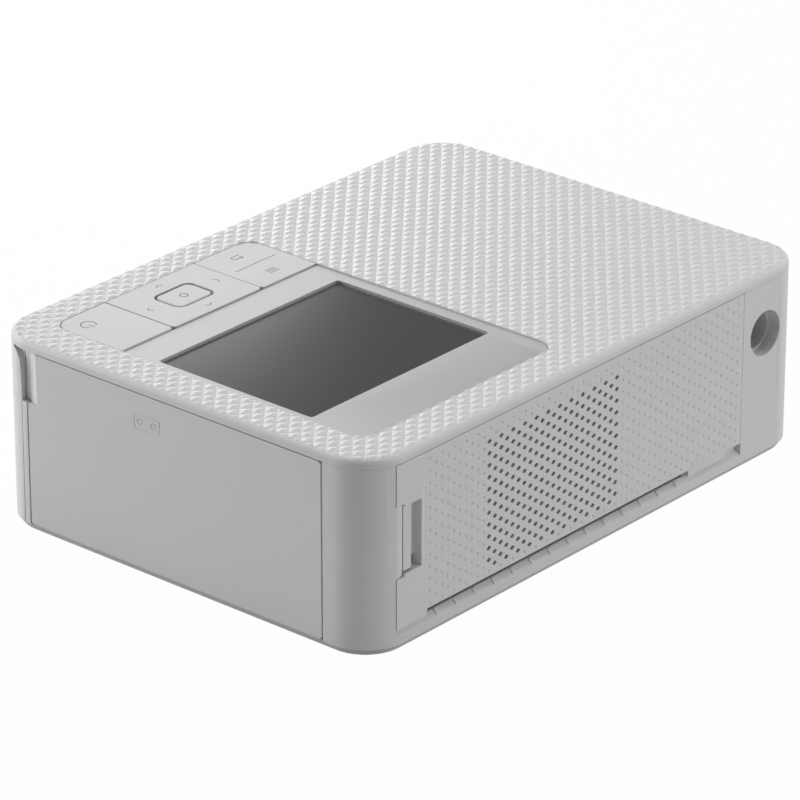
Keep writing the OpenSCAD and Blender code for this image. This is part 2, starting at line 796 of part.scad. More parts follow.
module top_cover() color("whitesmoke") {
    difference() {
        translate([0, 0, seam_z]) rim_slab(body_w, body_d, corner_r, cover_h, rim_r);
        translate([0, 0, seam_z - 1]) linear_extrude(cover_h + 2) window_2d(0);
        rod_z([ink_axis_x, ink_axis_y], pin_r + push_gap, seam_z - 1, seam_z + cover_h - 0.6);
    }
    for (x = [window_x0 - 3, window_x1 + 3], y = [window_y0 + 4, keys_y1 - 4]) {
        rod_z([x, y], 2, key_board_top, seam_z + eps);
    }
}

module patterned_plate() color("white") translate([0, 0, seam_z + cover_h]) linear_extrude(plate_h) difference() {
    round_rect(body_w - 2 * plate_inset - rim_r, body_d - 2 * plate_inset - rim_r, corner_r - plate_inset - rim_r / 2);
    window_2d(-0.5);
}

module display_bezel() color("gainsboro") difference() {
    union() {
        translate([0, 0, seam_z]) linear_extrude(bezel_z - seam_z) intersection() {
            window_2d(seam_gap);
            translate([window_x0, keys_y1]) square([window_w, window_y1 - keys_y1]);
        }
        span([window_x0 - bezel_lap, window_x1 + bezel_lap], [keys_y1, window_y1 + bezel_lap],
            [seam_z - bezel_lap_h, seam_z]);
    }
    translate([0, 0, seam_z - 3]) linear_extrude(body_h)
        round_span(screen_x0, screen_x1, screen_y0, screen_y1, 1);
}

module display_glass() color("black") translate([0, 0, module_top]) linear_extrude(glass_t)
    round_span(screen_x0 + seam_gap, screen_x1 - seam_gap, screen_y0 + seam_gap, screen_y1 - seam_gap, 0.8);

module display_module() color("dimgray")
    span([screen_x0 - 1.5, screen_x1 + 1.5], [screen_y0 - 1.5, screen_y1 + 1.5], [module_top - module_t, module_top]);

// Key plate: the part of the window between two X limits, in the row of keys.
module key_plate(x0, x1) {
    translate([0, 0, key_z0]) linear_extrude(key_t) intersection() {
        window_2d(seam_gap);
        round_span(x0, x1, window_y0 - key_r, keys_y1 - key_gap, key_r);
    }
}

module key_stem(x, y) {
    rod_z([x, y], stem_r, stem_z, key_z0 + eps);
}

module power_key() color("whitesmoke") {
    key_plate(power_x0 + key_gap / 2, window_x1 + key_r);
    key_stem(power_cx, keys_cy);
}

module nav_pad() color("whitesmoke") difference() {
    union() {
        key_plate(back_x1 + key_gap / 2, power_x0 - key_gap / 2);
        for (s = [-1, 1]) {
            key_stem(nav_cx + s * side_reach, keys_cy);
            key_stem(nav_cx + end_side, keys_cy + s * end_reach);
            y = keys_cy + s * (post_far + post_w / 2);
            span([nav_cx - 1.4, nav_cx + 1.4], [y - post_w / 2, y + post_w / 2], [pivot_z - 1.2, key_z0 + eps]);
        }
    }
    translate([nav_cx, keys_cy, key_z0 - 1]) linear_extrude(key_t + 2)
        round_rect(ok_w + 2 * ok_groove, ok_d + 2 * ok_groove, ok_r + ok_groove);
    rod_y([nav_cx, pivot_z], pivot_pin_r + run_gap, keys_cy - post_far - 1.5, keys_cy + post_far + 1.5);
}

module nav_gimbal() color("silver") {
    difference() {
        rod_z([nav_cx, keys_cy], gimbal_r, pivot_z - gimbal_h / 2, pivot_z + gimbal_h / 2);
        rod_z([nav_cx, keys_cy], gimbal_in, pivot_z - 1, pivot_z + 1);
    }
    for (s = [-1, 1]) {
        translate([nav_cx, keys_cy, pivot_z]) rotate([0, s * 90, 0])
            translate([0, 0, gimbal_in + 0.5]) cylinder(h = post_far + 1.2 - gimbal_in - 0.5, r = pivot_pin_r);
        translate([nav_cx, keys_cy, pivot_z]) rotate([s * 90, 0, 0])
            translate([0, 0, gimbal_in + 0.5]) cylinder(h = post_far + 1.2 - gimbal_in - 0.5, r = pivot_pin_r);
    }
}

module ok_key() color("whitesmoke") {
    translate([nav_cx, keys_cy, key_z0]) linear_extrude(key_t) round_rect(ok_w, ok_d, ok_r);
    key_stem(nav_cx, keys_cy);
}

module back_menu_key() color("whitesmoke") difference() {
    union() {
        key_plate(window_x0 - key_r, back_x1 - key_gap / 2);
        key_stem(back_cx, keys_cy - end_reach);
        key_stem(back_cx, keys_cy + end_reach);
        span([back_cx - 3, back_cx + 3], [keys_cy - 1.4, keys_cy + 1.4], [pivot_z - 1.2, key_z0 + eps]);
    }
    rod_x([keys_cy, pivot_z], pivot_pin_r + run_gap, back_cx - 5, back_cx + 5);
}

module rocker_pin() color("silver") rod_x([keys_cy, pivot_z], pivot_pin_r, back_cx - 3.3 - post_w, back_cx + 3.3 + post_w);

// Posts on the key board that carry the rocker's pin and the gimbal.
module pivot_posts() color("gray") {
    difference() {
        for (s = [-1, 1]) {
            x = nav_cx + s * (post_far + post_w / 2);
            span([x - post_w / 2, x + post_w / 2], [keys_cy - 1.4, keys_cy + 1.4], [key_board_top, pivot_z + 0.9]);
        }
        rod_x([keys_cy, pivot_z], pivot_pin_r + run_gap, nav_cx - post_far - 1.5, nav_cx + post_far + 1.5);
    }
    difference() {
        for (s = [-1, 1]) {
            x = back_cx + s * (3.3 + post_w / 2);
            span([x - post_w / 2, x + post_w / 2], [keys_cy - 1.4, keys_cy + 1.4], [key_board_top, pivot_z + 0.9]);
        }
        rod_x([keys_cy, pivot_z], pivot_pin_r + push_gap, back_cx - 6, back_cx + 6);
    }
}

module key_board() color("darkgreen")
    span([window_x0 - key_board_lap, window_x1 + key_board_lap], [window_y0 + 1, keys_y1 - 1],
        [key_board_top - key_board_t, key_board_top]);

function switch_spots() = concat(
    [[power_cx, keys_cy], [nav_cx, keys_cy]],
    [for (s = [-1, 1]) [nav_cx + s * side_reach, keys_cy]],
    [for (s = [-1, 1]) [nav_cx + end_side, keys_cy + s * end_reach]],
    [for (s = [-1, 1]) [back_cx, keys_cy + s * end_reach]]
);

module key_switches() color("silver") {
    for (p = switch_spots()) {
        translate([p[0] - switch_w / 2, p[1] - switch_w / 2, key_board_top]) cube([switch_w, switch_w, switch_h]);
        rod_z(p, 1, key_board_top + switch_h - eps, switch_top);
    }
}

module vent_panel() color("whitesmoke") {
    upright_plate(rear - wall, rear) difference() {
        translate([grille_x0 + seam_gap, grille_low + seam_gap])
            square([grille_w - 2 * seam_gap, seam_z - grille_low - 2 * seam_gap]);
        translate([tab_x0, contact_z0 - tab_lap - seam_gap]) square([body_w, contact_h + 2 * (tab_lap + seam_gap)]);
        translate([contact_x0, contact_z0]) square([contact_w + 1, contact_h]);
        for (row = [0:vent_rows - 1]) {
            odd = row % 2;
            for (col = [0:vent_cols - 1 - odd]) {
                translate([vent_x1 - (col + odd / 2) * vent_pitch_x, vent_z1 - row * vent_pitch_z])
                    cut_diamond(vent_w, vent_h, vent_cut);
            }
        }
    }
    for (x = [[grille_x0 + pocket_w, slot_x0 - 0.6], [slot_x1 + 0.6, grille_x1 - seam_gap]]) {
        span(x, [rear - ramp_d + seam_gap, rear], [slot_z0 + seam_gap, grille_low + 2 * seam_gap]);
    }
    span([grille_x0 - grille_lap, grille_x0 + grille_lap], [rear - wall - grille_lap_t, rear - wall],
        [grille_low + 4.5, seam_z - 3]);
    for (z = [[grille_low + 4.5, contact_z0 - tab_lap - seam_gap], [contact_z0 + contact_h + tab_lap + seam_gap, seam_z - 3]]) {
        span([grille_x1 - grille_lap, grille_x1 - seam_gap], [rear - wall - grille_lap_t - lap_drop, rear - wall], z);
    }
    span([grille_x1 - grille_lap, grille_x1 + grille_lap], [rear - wall - grille_lap_t - lap_drop, rear - wall - lap_drop],
        [grille_low + 4.5, seam_z - 3]);
}

module battery_contact() color("gray") {
    difference() {
        span([contact_x0 - contact_margin, contact_x1 + 0.05], [rear - wall - contact_plate_t, rear - wall],
            [contact_z0 - contact_margin, contact_z0 + contact_h + contact_margin]);
        span([contact_x0 + 0.3, contact_x1 - contact_bar_w - 0.5], [rear - wall - contact_plate_t + 0.5, rear],
            [contact_z0 + 0.3, contact_z0 + 0.3 + contact_hole_h]);
    }
    span([contact_x1 - contact_bar_w - 0.25, contact_x1 - 0.25], [rear - wall - 1, rear - contact_bar_in],
        [contact_z0 + 0.3, contact_z0 + contact_h - 0.3]);
}

module ink_door() color("whitesmoke") difference() {
    union() {
        side_plate(right - door_t, right) round_span(ink_y0, ink_y1, ink_z0, ink_z1, ink_corner_r);
        span([right - door_t - grip_back, right - eps], [grip_y, grip_y + scoop_w + 1], [scoop_z + seam_gap, ink_z1]);
        rod_z([ink_axis_x, ink_axis_y], barrel_r, ink_z0, ink_z1);
    }
    rod_z([ink_axis_x, ink_axis_y], pin_r + run_gap, ink_z0 - 1, ink_z0 + pin_in_door + 0.5);
    rod_z([ink_axis_x, ink_axis_y], pin_r + run_gap, ink_z1 - pin_in_door - 0.5, ink_z1 + 1);
    rod_z([scoop_x, grip_y], scoop_r, scoop_z, body_h);
}

module ink_door_pins() color("silver") {
    rod_z([ink_axis_x, ink_axis_y], pin_r, foot_h + 0.5, ink_z0 + pin_in_door);
    rod_z([ink_axis_x, ink_axis_y], pin_r, ink_z1 - pin_in_door, seam_z + cover_h - 0.6);
}

module paper_door() color("whitesmoke") difference() {
    union() {
        span([door_x0, door_x1], [front, front + door_t], [door_z0, door_z1]);
        for (x = [door_x0, door_x1 - barrel_len]) {
            rod_x([paper_axis_y, paper_axis_z], barrel_r, x, x + barrel_len);
        }
    }
    rod_x([paper_axis_y, paper_axis_z], pin_r + run_gap, door_x0 - 1, door_x0 + pin_in_door + 0.5);
    rod_x([paper_axis_y, paper_axis_z], pin_r + run_gap, door_x1 - pin_in_door - 0.5, door_x1 + 1);
}

module paper_door_pins() color("silver") {
    rod_x([paper_axis_y, paper_axis_z], pin_r, door_x0 - door_gap - jamb_w + 1, door_x0 + pin_in_door);
    rod_x([paper_axis_y, paper_axis_z], pin_r, door_x1 - pin_in_door, door_x1 + door_gap + jamb_w - 1);
}

// Duct between the paper door and the chassis.
module bay_liner() color("lightgray") difference() {
    span([bay_x0 - liner_t, bay_x1 + liner_t], [bay_y0, bay_y1], [floor_z, bay_z1 + liner_t]);
    span([bay_x0, bay_x1], [bay_y0 - 1, bay_y1 + 1], [bay_z0, bay_z1]);
    span([bay_x0 - 10, bay_x1 + 10], [bay_y0 - 1, hinge_clear_y], [floor_z - 1, hinge_clear_z]);
}

module inlet_jack() color("dimgray") difference() {
    span([inlet_x - jack_w / 2, inlet_x + jack_w / 2], [rear - inlet_d - jack_d, rear - inlet_d],
        [inlet_z - jack_w / 2, inlet_z + jack_w / 2]);
    rod_y([inlet_x, inlet_z], plug_r, rear - inlet_d - plug_d, rear);
}

module inlet_pin() color("gold") rod_y([inlet_x, inlet_z], plug_pin_r, rear - inlet_d - plug_d, rear - inlet_d - 0.5);

module card_reader() color("silver") difference() {
    span([socket_cx - card_w / 2 - card_wall, socket_cx + card_w / 2 + card_wall],
        [socket_y0 + reader_back, socket_y0 + card_d + card_wall],
        [socket_z + board_t, socket_z + board_t + card_t + 2 * card_wall]);
    span([socket_cx - card_w / 2, socket_cx + card_w / 2], [socket_y0 - 1, socket_y0 + card_d],
        [socket_z + board_t + card_wall, socket_z + board_t + card_wall + card_t]);
}

module usb_socket() color("silver") {
    upright_plate(socket_y0, socket_y0 + usb_d) translate([socket_cx, socket_z - usb_h / 2]) difference() {
        round_rect(usb_w, usb_h, usb_h / 2 - eps);
        round_rect(usb_w - 2 * usb_shell, usb_h - 2 * usb_shell, usb_h / 2 - usb_shell - eps);
    }
    span([socket_cx - usb_w / 2 + 1, socket_cx + usb_w / 2 - 1], [socket_y0 + usb_d, socket_y0 + usb_d + 1], [socket_z - usb_h, socket_z]);
    span([socket_cx - usb_w / 2 + 1.2, socket_cx + usb_w / 2 - 1.2], [socket_y0 + 1, socket_y0 + usb_d + eps],
        [socket_z - usb_h / 2 - 0.35, socket_z - usb_h / 2 + 0.35]);
}

module socket_board() color("darkgreen")
    span([socket_cx - socket_board_w / 2, socket_cx + socket_board_w / 2], [socket_y0 + board_back, socket_y0 + socket_board_d],
        [socket_z, socket_z + board_t]);

module main_board() color("darkgreen") span([board_x0, board_x1], [board_y0, board_y1], [board_z, board_z + board_t]);

// Flat cable: along X under the top, then down to the main board.
module flat_cable(x1, y, z) {
    span([board_x1 - 4, x1], [y, y + cable_w], [z, z + cable_t]);
    span([board_x1 - 4, board_x1 - 4 + cable_t], [y, y + cable_w], [board_z + board_t, z + cable_t]);
}

module display_cable() color("beige") flat_cable(screen_x0 + 6, display_cable_y, module_top - module_t - cable_t);

module key_cable() color("beige") flat_cable(window_x0 - key_board_lap + 3, key_cable_y, key_board_top - key_board_t - cable_t);

module chassis_2d() {
    translate([chassis_y0, floor_z]) square([chassis_y1 - chassis_y0, chassis_top - floor_z]);
}

module shaft_hole(pos, r) {
    translate(pos) circle(r + run_gap);
}

// Bearing holes that both side plates have.
module bearings() {
    shaft_hole([platen_y, platen_z], shaft_r);
    shaft_hole([capstan_y, capstan_z], shaft_r);
    shaft_hole([capstan_y, pinch_z], pinch_end_r);
    shaft_hole(pick_pos, pick_shaft_r);
    translate([head_axis_y, head_axis_z]) circle(shaft_r + push_gap);
}

module chassis_foot(x0, x1, hole_x) {
    for (y = chassis_feet) {
        difference() {
            span([x0, x1], [y - foot_len / 2, y + foot_len / 2], [floor_z, floor_z + plate_t]);
            rod_z([hole_x, y], plate_screw_r + push_gap, floor_z - 1, floor_z + plate_t + 1);
        }
    }
}

module chassis_screw_spots() {
    for (x = [chassis_x0 - foot_w / 2, chassis_x1 + foot_w / 2], y = chassis_feet) {
        translate([x, y, 0]) children();
    }
}

module chassis_left() color("lightsteelblue") {
    side_plate(chassis_x0, inner_x0) difference() {
        chassis_2d();
        bearings();
        shaft_hole(take_up_pos, shaft_r);
        translate(idler_pos) circle(pinion_bore + 0.5 + push_gap);
    }
    chassis_foot(chassis_x0 - foot_w, chassis_x0 + eps, chassis_x0 - foot_w / 2);
}

module chassis_right() color("lightsteelblue") {
    side_plate(inner_x1, chassis_x1) difference() {
        chassis_2d();
        bearings();
        translate([take_up_y - take_up_tube_r - cassette_clear, link_z0 + 0.4])
            square([2 * tube_step + supply_tube_r + take_up_tube_r + 2 * cassette_clear,
                tube_z + supply_tube_r + cassette_clear - link_z0 - 0.4]);
    }
    chassis_foot(chassis_x1 - eps, chassis_x1 + foot_w, chassis_x1 + foot_w / 2);
}

module chassis_screws() color("silver") {
    chassis_screw_spots() {
        rod_z([0, 0], plate_screw_r, foot_h + 0.5, floor_z + plate_t + eps);
        rod_z([0, 0], plate_screw_r * 1.8, floor_z + plate_t, floor_z + plate_t + 1.4);
    }
}

module chassis_stays() color("silver") {
    for (p = stay_spots) {
        rod_x(p, stay_r, inner_x0, inner_x1);
    }
}

module motor_bracket() color("lightsteelblue") {
    side_plate(bracket_x0, bracket_x1) difference() {
        translate([bracket_y0, bracket_z0]) square([bracket_y1 - bracket_y0, bracket_z1 - bracket_z0]);
        translate(feed_pos) circle(pinion_bore + 0.6);
        translate(ribbon_pos) circle(pinion_bore + 0.6);
    }
    for (p = pillars) {
        rod_x(p, pillar_r, bracket_x1 - eps, chassis_x0);
    }
}

module platen_roller() color("dimgray") difference() {
    rod_x([platen_y, platen_z], platen_r, inner_x0 + 1, inner_x1 - 1);
    rod_x([platen_y, platen_z], shaft_r, inner_x0, inner_x1);
}

module platen_shaft() color("silver") rod_x([platen_y, platen_z], shaft_r, chassis_x0 - 0.5, chassis_x1 + 0.4);

module capstan() color("silver") {
    rod_x([capstan_y, capstan_z], capstan_r, inner_x0 + 0.6, inner_x1 - 0.6);
    rod_x([capstan_y, capstan_z], shaft_r, gear_x0, chassis_x1 + 0.4);
}

module capstan_gear() color("ivory") difference() {
    gear([capstan_y, capstan_z], capstan_teeth, 0);
    rod_x([capstan_y, capstan_z], shaft_r, gear_x0 - 1, gear_x1 + 1);
}

module pinion(pos, phase) {
    gear(pos, pinion_teeth, phase);
    rod_x(pos, pinion_bore, bracket_x0 - 4, gear_x1);
}

module feed_pinion() color("goldenrod") pinion(feed_pos, feed_phase);

module motor(pos) {
    difference() {
        rod_x(pos, motor_r, bracket_x0 - motor_len, bracket_x0);
        rod_x(pos, pinion_bore + run_gap, bracket_x0 - 4.5, bracket_x0 + 1);
    }
}

module motors() color("silver") {
    motor(feed_pos);
    motor(ribbon_pos);
}

module pinch_roller() color("silver") {
    rod_x([capstan_y, pinch_z], pinch_r, head_x0, inner_x1 - 0.6);
    rod_x([capstan_y, pinch_z], pinch_end_r, chassis_x0 - 0.4, chassis_x1 + 0.4);
}

module pick_tyre() color("dimgray") difference() {
    rod_x(pick_pos, pick_r, paper_cx - pick_w / 2, paper_cx + pick_w / 2);
    rod_x(pick_pos, pick_shaft_r, paper_cx - pick_w, paper_cx + pick_w);
}

module pick_shaft() color("ivory") {
    rod_x(pick_pos, pick_shaft_r, gear_x0, chassis_x1 + 0.4);
    gear(pick_pos, pick_teeth, pick_phase);
}

module pick_idler() color("ivory") difference() {
    gear(idler_pos, idler_teeth, idler_phase);
    rod_x(idler_pos, pinion_bore + 0.5 + run_gap, gear_x0 - 1, gear_x1 + 1);
}

module idler_stud() color("silver") rod_x(idler_pos, pinion_bore + 0.5, gear_x0 - 0.4, inner_x0);

// Deck under the pick roller, and the two guides down to the paper slot.
module paper_guides() color("darkgray") {
    span([inner_x0 + seam_gap, inner_x1 - seam_gap], [deck_y0, deck_y1], [deck_z, deck_z + deck_t]);
    side_plate(inner_x0 + seam_gap, inner_x1 - seam_gap) {
        polygon([
            [guide_y0, capstan_top - 1.4], [guide_y1, slot_z0], [guide_y1, slot_z0 - deck_t],
            [guide_y0, capstan_top - 1.4 - deck_t]
        ]);
        polygon([
            [guide_y0, capstan_top + 1.7], [guide_y1 - 1.5, slot_z0 + guide_gap], [guide_y1 - 1.5, slot_z0 + guide_gap + deck_t],
            [guide_y0, capstan_top + 1.7 + deck_t]
        ]);
    }
}

module print_head() color("tan") {
    span([head_x0, head_x1], [platen_y - strip_d / 2, platen_y + strip_d / 2], [head_z0, bar_z0]);
    span([head_x0 + arm_t, head_x1 - arm_t], [platen_y - head_d / 2, platen_y + head_d / 2], [bar_z0, bar_z1]);
}

module heat_sink() color("silver") {
    span([head_x0 + arm_t, head_x1 - arm_t], [platen_y - head_d / 2, platen_y + head_d / 2], [bar_z1, bar_z1 + sink_base]);
    for (i = [0:fins - 1]) {
        y = platen_y - head_d / 2 + i * (head_d - 1) / (fins - 1);
        span([head_x0 + arm_t, head_x1 - arm_t], [y, y + 1], [bar_z1 + sink_base - eps, sink_z1]);
    }
}

module head_arms() color("lightsteelblue") {
    for (x = [head_x0, head_x1 - arm_t]) {
        side_plate(x, x + arm_t) difference() {
            union() {
                translate([platen_y - head_d / 2, bar_z0]) square([head_d, arm_z0 + arm_h - bar_z0]);
                translate([platen_y - head_d / 2, arm_z0]) square([head_axis_y - platen_y + head_d / 2, arm_h]);
                translate([head_axis_y, head_axis_z]) circle(arm_eye_r);
            }
            shaft_hole([head_axis_y, head_axis_z], shaft_r);
        }
    }
}

module head_shaft() color("silver") rod_x([head_axis_y, head_axis_z], shaft_r, chassis_x0, chassis_x1);

module tube_2d(pos, r, side) {
    translate(pos) difference() {
        circle(r);
        circle(r - tube_t);
        polygon([
            [0, 0],
            for (a = [-exit_half, 0, exit_half]) 2 * r * [side * cos(exit_angle + a), sin(exit_angle + a)]
        ]);
    }
}

module grip_2d() {
    translate([take_up_y, tube_z]) circle(take_up_tube_r);
    translate([supply_y, tube_z]) circle(supply_tube_r);
    translate([take_up_y, link_z0 + 1]) square([supply_y - take_up_y, tube_z + 7 - link_z0]);
}

module ink_cassette() color("slategray") difference() {
    union() {
        side_plate(cassette_x0 + end_t - eps, grip_x0 + eps) {
            tube_2d([supply_y, tube_z], supply_tube_r, 1);
            tube_2d([take_up_y, tube_z], take_up_tube_r, -1);
        }
        side_plate(cassette_x0, cassette_x0 + end_t) {
            translate([supply_y, tube_z]) circle(supply_tube_r);
            translate([take_up_y, tube_z]) circle(take_up_tube_r);
            translate([take_up_y, link_z0]) square([supply_y - take_up_y, link_h]);
        }
        side_plate(grip_x0, grip_x1) grip_2d();
    }
    rod_x([supply_y, tube_z], shaft_r + run_gap, cassette_x0 - 1, grip_x0 + 4);
    rod_x([take_up_y, tube_z], core_r + run_gap, cassette_x0 - 1, cassette_x0 + end_t + 1);
    rod_x([take_up_y, tube_z], shaft_r + run_gap, grip_x0 - 1, grip_x0 + 4);
}

module ink_ribbon() color("midnightblue") {
    start = roll_meets([platen_y + ribbon_bend, ribbon_z], [supply_y, tube_z], supply_roll_r + roll_clear, 1);
    end = roll_meets([platen_y - ribbon_bend, ribbon_z], [take_up_y, tube_z], used_roll_r + roll_clear, -1);
    path = [start, [platen_y + ribbon_bend, ribbon_z], [platen_y - ribbon_bend, ribbon_z], end];
    side_plate(ribbon_x0, ribbon_x1)
        polygon(concat(path, [for (i = [3:-1:0]) path[i] + [0, ribbon_t]]));
}

// A core with two flanges, a roll of ribbon between them and a journal at each end.
module spool(y, roll, x0) {
    rod_x([y, tube_z], core_r, x0, grip_x0 - 0.4);
    rod_x([y, tube_z], shaft_r, cassette_x0 + 0.1, grip_x0 + 3.5);
    for (x = [ribbon_x0 - 1.5, ribbon_x1 + 0.5]) {
        rod_x([y, tube_z], flange_r, x, x + 1);
    }
    rod_x([y, tube_z], roll, ribbon_x0, ribbon_x1);
}

module supply_spool() color("midnightblue") spool(supply_y, supply_roll_r, cassette_x0 + end_t + 0.4);

module take_up_spool() color("darkslateblue") difference() {
    spool(take_up_y, used_roll_r, cassette_x0);
    rod_hex(take_up_pos, dog_r + dog_gap, cassette_x0 - 1, cassette_x0 + dog_reach + 1);
}

module rod_hex(pos, r, x0, x1) {
    translate([x0, pos[0], pos[1]]) rotate([0, 90, 0]) cylinder(h = x1 - x0, r = r, $fn = 6);
}

module take_up_drive() color("ivory") {
    gear(take_up_pos, take_up_teeth, 0);
    rod_x(take_up_pos, shaft_r, gear_x0, inner_x0 + 0.3);
    rod_hex(take_up_pos, dog_r, inner_x0, cassette_x0 + dog_reach);
}

module ribbon_drive() color("goldenrod") pinion(ribbon_pos, ribbon_phase);

base_tray();
rubber_feet();
casing_screws();
main_casing();
top_cover();
patterned_plate();
display_bezel();
display_glass();
display_module();
power_key();
nav_pad();
nav_gimbal();
ok_key();
back_menu_key();
rocker_pin();
pivot_posts();
key_board();
key_switches();
vent_panel();
battery_contact();
ink_door();
ink_door_pins();
paper_door();
paper_door_pins();
bay_liner();
inlet_jack();
inlet_pin();
card_reader();
usb_socket();
socket_board();
main_board();
display_cable();
key_cable();
chassis_left();
chassis_right();
chassis_screws();
chassis_stays();
motor_bracket();
platen_roller();
platen_shaft();
capstan();
capstan_gear();
feed_pinion();
motors();
pinch_roller();
pick_tyre();
pick_shaft();
pick_idler();
idler_stud();
paper_guides();
print_head();
heat_sink();
head_arms();
head_shaft();
ink_cassette();
ink_ribbon();
supply_spool();
take_up_spool();
take_up_drive();
ribbon_drive();
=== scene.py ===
import json
import math

import bmesh
import bpy
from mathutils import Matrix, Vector


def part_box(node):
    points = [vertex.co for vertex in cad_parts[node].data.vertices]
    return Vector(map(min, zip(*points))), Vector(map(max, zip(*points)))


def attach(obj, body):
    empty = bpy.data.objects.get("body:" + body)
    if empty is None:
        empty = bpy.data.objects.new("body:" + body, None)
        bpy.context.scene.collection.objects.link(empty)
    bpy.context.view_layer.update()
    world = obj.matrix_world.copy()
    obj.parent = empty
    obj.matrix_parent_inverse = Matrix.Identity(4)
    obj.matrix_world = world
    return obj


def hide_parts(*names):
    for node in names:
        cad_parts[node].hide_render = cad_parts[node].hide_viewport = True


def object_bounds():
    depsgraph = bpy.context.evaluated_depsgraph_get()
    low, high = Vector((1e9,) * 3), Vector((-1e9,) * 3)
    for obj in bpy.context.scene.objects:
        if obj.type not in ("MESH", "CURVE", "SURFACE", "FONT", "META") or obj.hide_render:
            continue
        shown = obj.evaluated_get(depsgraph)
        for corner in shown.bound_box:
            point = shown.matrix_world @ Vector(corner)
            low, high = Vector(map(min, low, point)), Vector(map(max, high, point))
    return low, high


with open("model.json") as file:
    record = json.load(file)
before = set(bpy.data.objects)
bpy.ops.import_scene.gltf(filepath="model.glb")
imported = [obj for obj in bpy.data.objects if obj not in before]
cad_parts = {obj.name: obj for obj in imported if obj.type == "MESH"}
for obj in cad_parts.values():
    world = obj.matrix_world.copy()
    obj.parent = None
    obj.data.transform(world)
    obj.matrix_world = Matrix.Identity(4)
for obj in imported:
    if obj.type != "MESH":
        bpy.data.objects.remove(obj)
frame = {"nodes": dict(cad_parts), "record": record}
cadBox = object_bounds()
mm = 0.001
nodes = frame["nodes"]
cadLow, cadHigh = [Vector(corner) for corner in cadBox]
mergeGap = 0.001 * mm
flatAngle = 0.6


# shared numbers of the surface finishes, lengths in mm
finish = {
    "grainDetail": 3.0, "cloudDetail": 4.0, "roughSwing": 0.12, "grainDepth": 0.05,
    "lineDetail": 4.0, "lineSwing": 0.25, "lineDepth": 0.03,
    "traceScale": 260.0, "traceGap": 0.03, "traceBump": 0.3, "boardRough": 0.35,
    # the glass band width is the grey band painted round the screen glass as the recess wall's reflection
    "glassRough": 0.17, "glassIor": 1.23, "glassReflectionBand": 1.2,
}


def newGroup(name, inputs, outputs):
    group = bpy.data.node_groups.new(name, "ShaderNodeTree")
    for label, kind, value in inputs:
        socket = group.interface.new_socket(label, in_out="INPUT", socket_type=kind)
        socket.default_value = value
    for label, kind in outputs:
        group.interface.new_socket(label, in_out="OUTPUT", socket_type=kind)
    return group, group.nodes.new("NodeGroupInput"), group.nodes.new("NodeGroupOutput")


def addMath(tree, operation, first, second):
    node = tree.nodes.new("ShaderNodeMath")
    node.operation = operation
    for socket, value in zip(node.inputs, (first, second)):
        if isinstance(value, (int, float)):
            socket.default_value = value
        else:
            tree.links.new(value, socket)
    return node.outputs[0]


def makeGrainGroup():
    # fine moulding grain with faint clouding; Scale counts grains per metre
    group, enter, leave = newGroup(
        "mouldingGrain",
        [
            ("Scale", "NodeSocketFloat", 4000.0),
            ("Cloud Scale", "NodeSocketFloat", 18.0),
            ("Cloud Depth", "NodeSocketFloat", 0.03),
        ],
        [("Height", "NodeSocketFloat"), ("Tone", "NodeSocketFloat"), ("Rough Shift", "NodeSocketFloat")],
    )
    links = group.links
    place = group.nodes.new("ShaderNodeTexCoord")
    grain = group.nodes.new("ShaderNodeTexNoise")
    grain.inputs["Detail"].default_value = finish["grainDetail"]
    cloud = group.nodes.new("ShaderNodeTexNoise")
    cloud.inputs["Detail"].default_value = finish["cloudDetail"]
    for noise, scale in ((grain, "Scale"), (cloud, "Cloud Scale")):
        links.new(place.outputs["Object"], noise.inputs["Vector"])
        links.new(enter.outputs[scale], noise.inputs["Scale"])
    links.new(grain.outputs["Fac"], leave.inputs["Height"])
    swing = addMath(group, "SUBTRACT", cloud.outputs["Fac"], 0.5)
    deep = addMath(group, "MULTIPLY", swing, enter.outputs["Cloud Depth"])
    links.new(addMath(group, "ADD", deep, 1.0), leave.inputs["Tone"])
    links.new(addMath(group, "MULTIPLY", swing, finish["roughSwing"]), leave.inputs["Rough Shift"])
    return group


def makeBrushGroup():
    # long fine scratches of drawn or brushed metal along X
    group, enter, leave = newGroup(
        "brushLines",
        [("Scale", "NodeSocketFloat", 900.0), ("Stretch", "NodeSocketFloat", 30.0)],
        [("Height", "NodeSocketFloat"), ("Tone", "NodeSocketFloat")],
    )
    links = group.links
    place = group.nodes.new("ShaderNodeTexCoord")
    squeeze = group.nodes.new("ShaderNodeVectorMath")
    squeeze.operation = "MULTIPLY"
    across = group.nodes.new("ShaderNodeCombineXYZ")
    links.new(addMath(group, "DIVIDE", 1.0, enter.outputs["Stretch"]), across.inputs["X"])
    across.inputs["Y"].default_value = 1.0
    across.inputs["Z"].default_value = 1.0
    links.new(place.outputs["Object"], squeeze.inputs[0])
    links.new(across.outputs[0], squeeze.inputs[1])
    noise = group.nodes.new("ShaderNodeTexNoise")
    noise.inputs["Detail"].default_value = finish["lineDetail"]
    links.new(squeeze.outputs[0], noise.inputs["Vector"])
    links.new(enter.outputs["Scale"], noise.inputs["Scale"])
    links.new(noise.outputs["Fac"], leave.inputs["Height"])
    swing = addMath(group, "SUBTRACT", noise.outputs["Fac"], 0.5)
    deep = addMath(group, "MULTIPLY", swing, finish["lineSwing"])
    links.new(addMath(group, "ADD", deep, 1.0), leave.inputs["Tone"])
    return group


grainGroup = makeGrainGroup()
brushGroup = makeBrushGroup()


def newMaterial(name):
    material = bpy.data.materials.new(name)
    material.use_nodes = True
    tree = material.node_tree
    return material, tree, tree.nodes["Principled BSDF"]


def useGroup(tree, group, values):
    node = tree.nodes.new("ShaderNodeGroup")
    node.node_tree = group
    for label, value in values.items():
        node.inputs[label].default_value = value
    return node


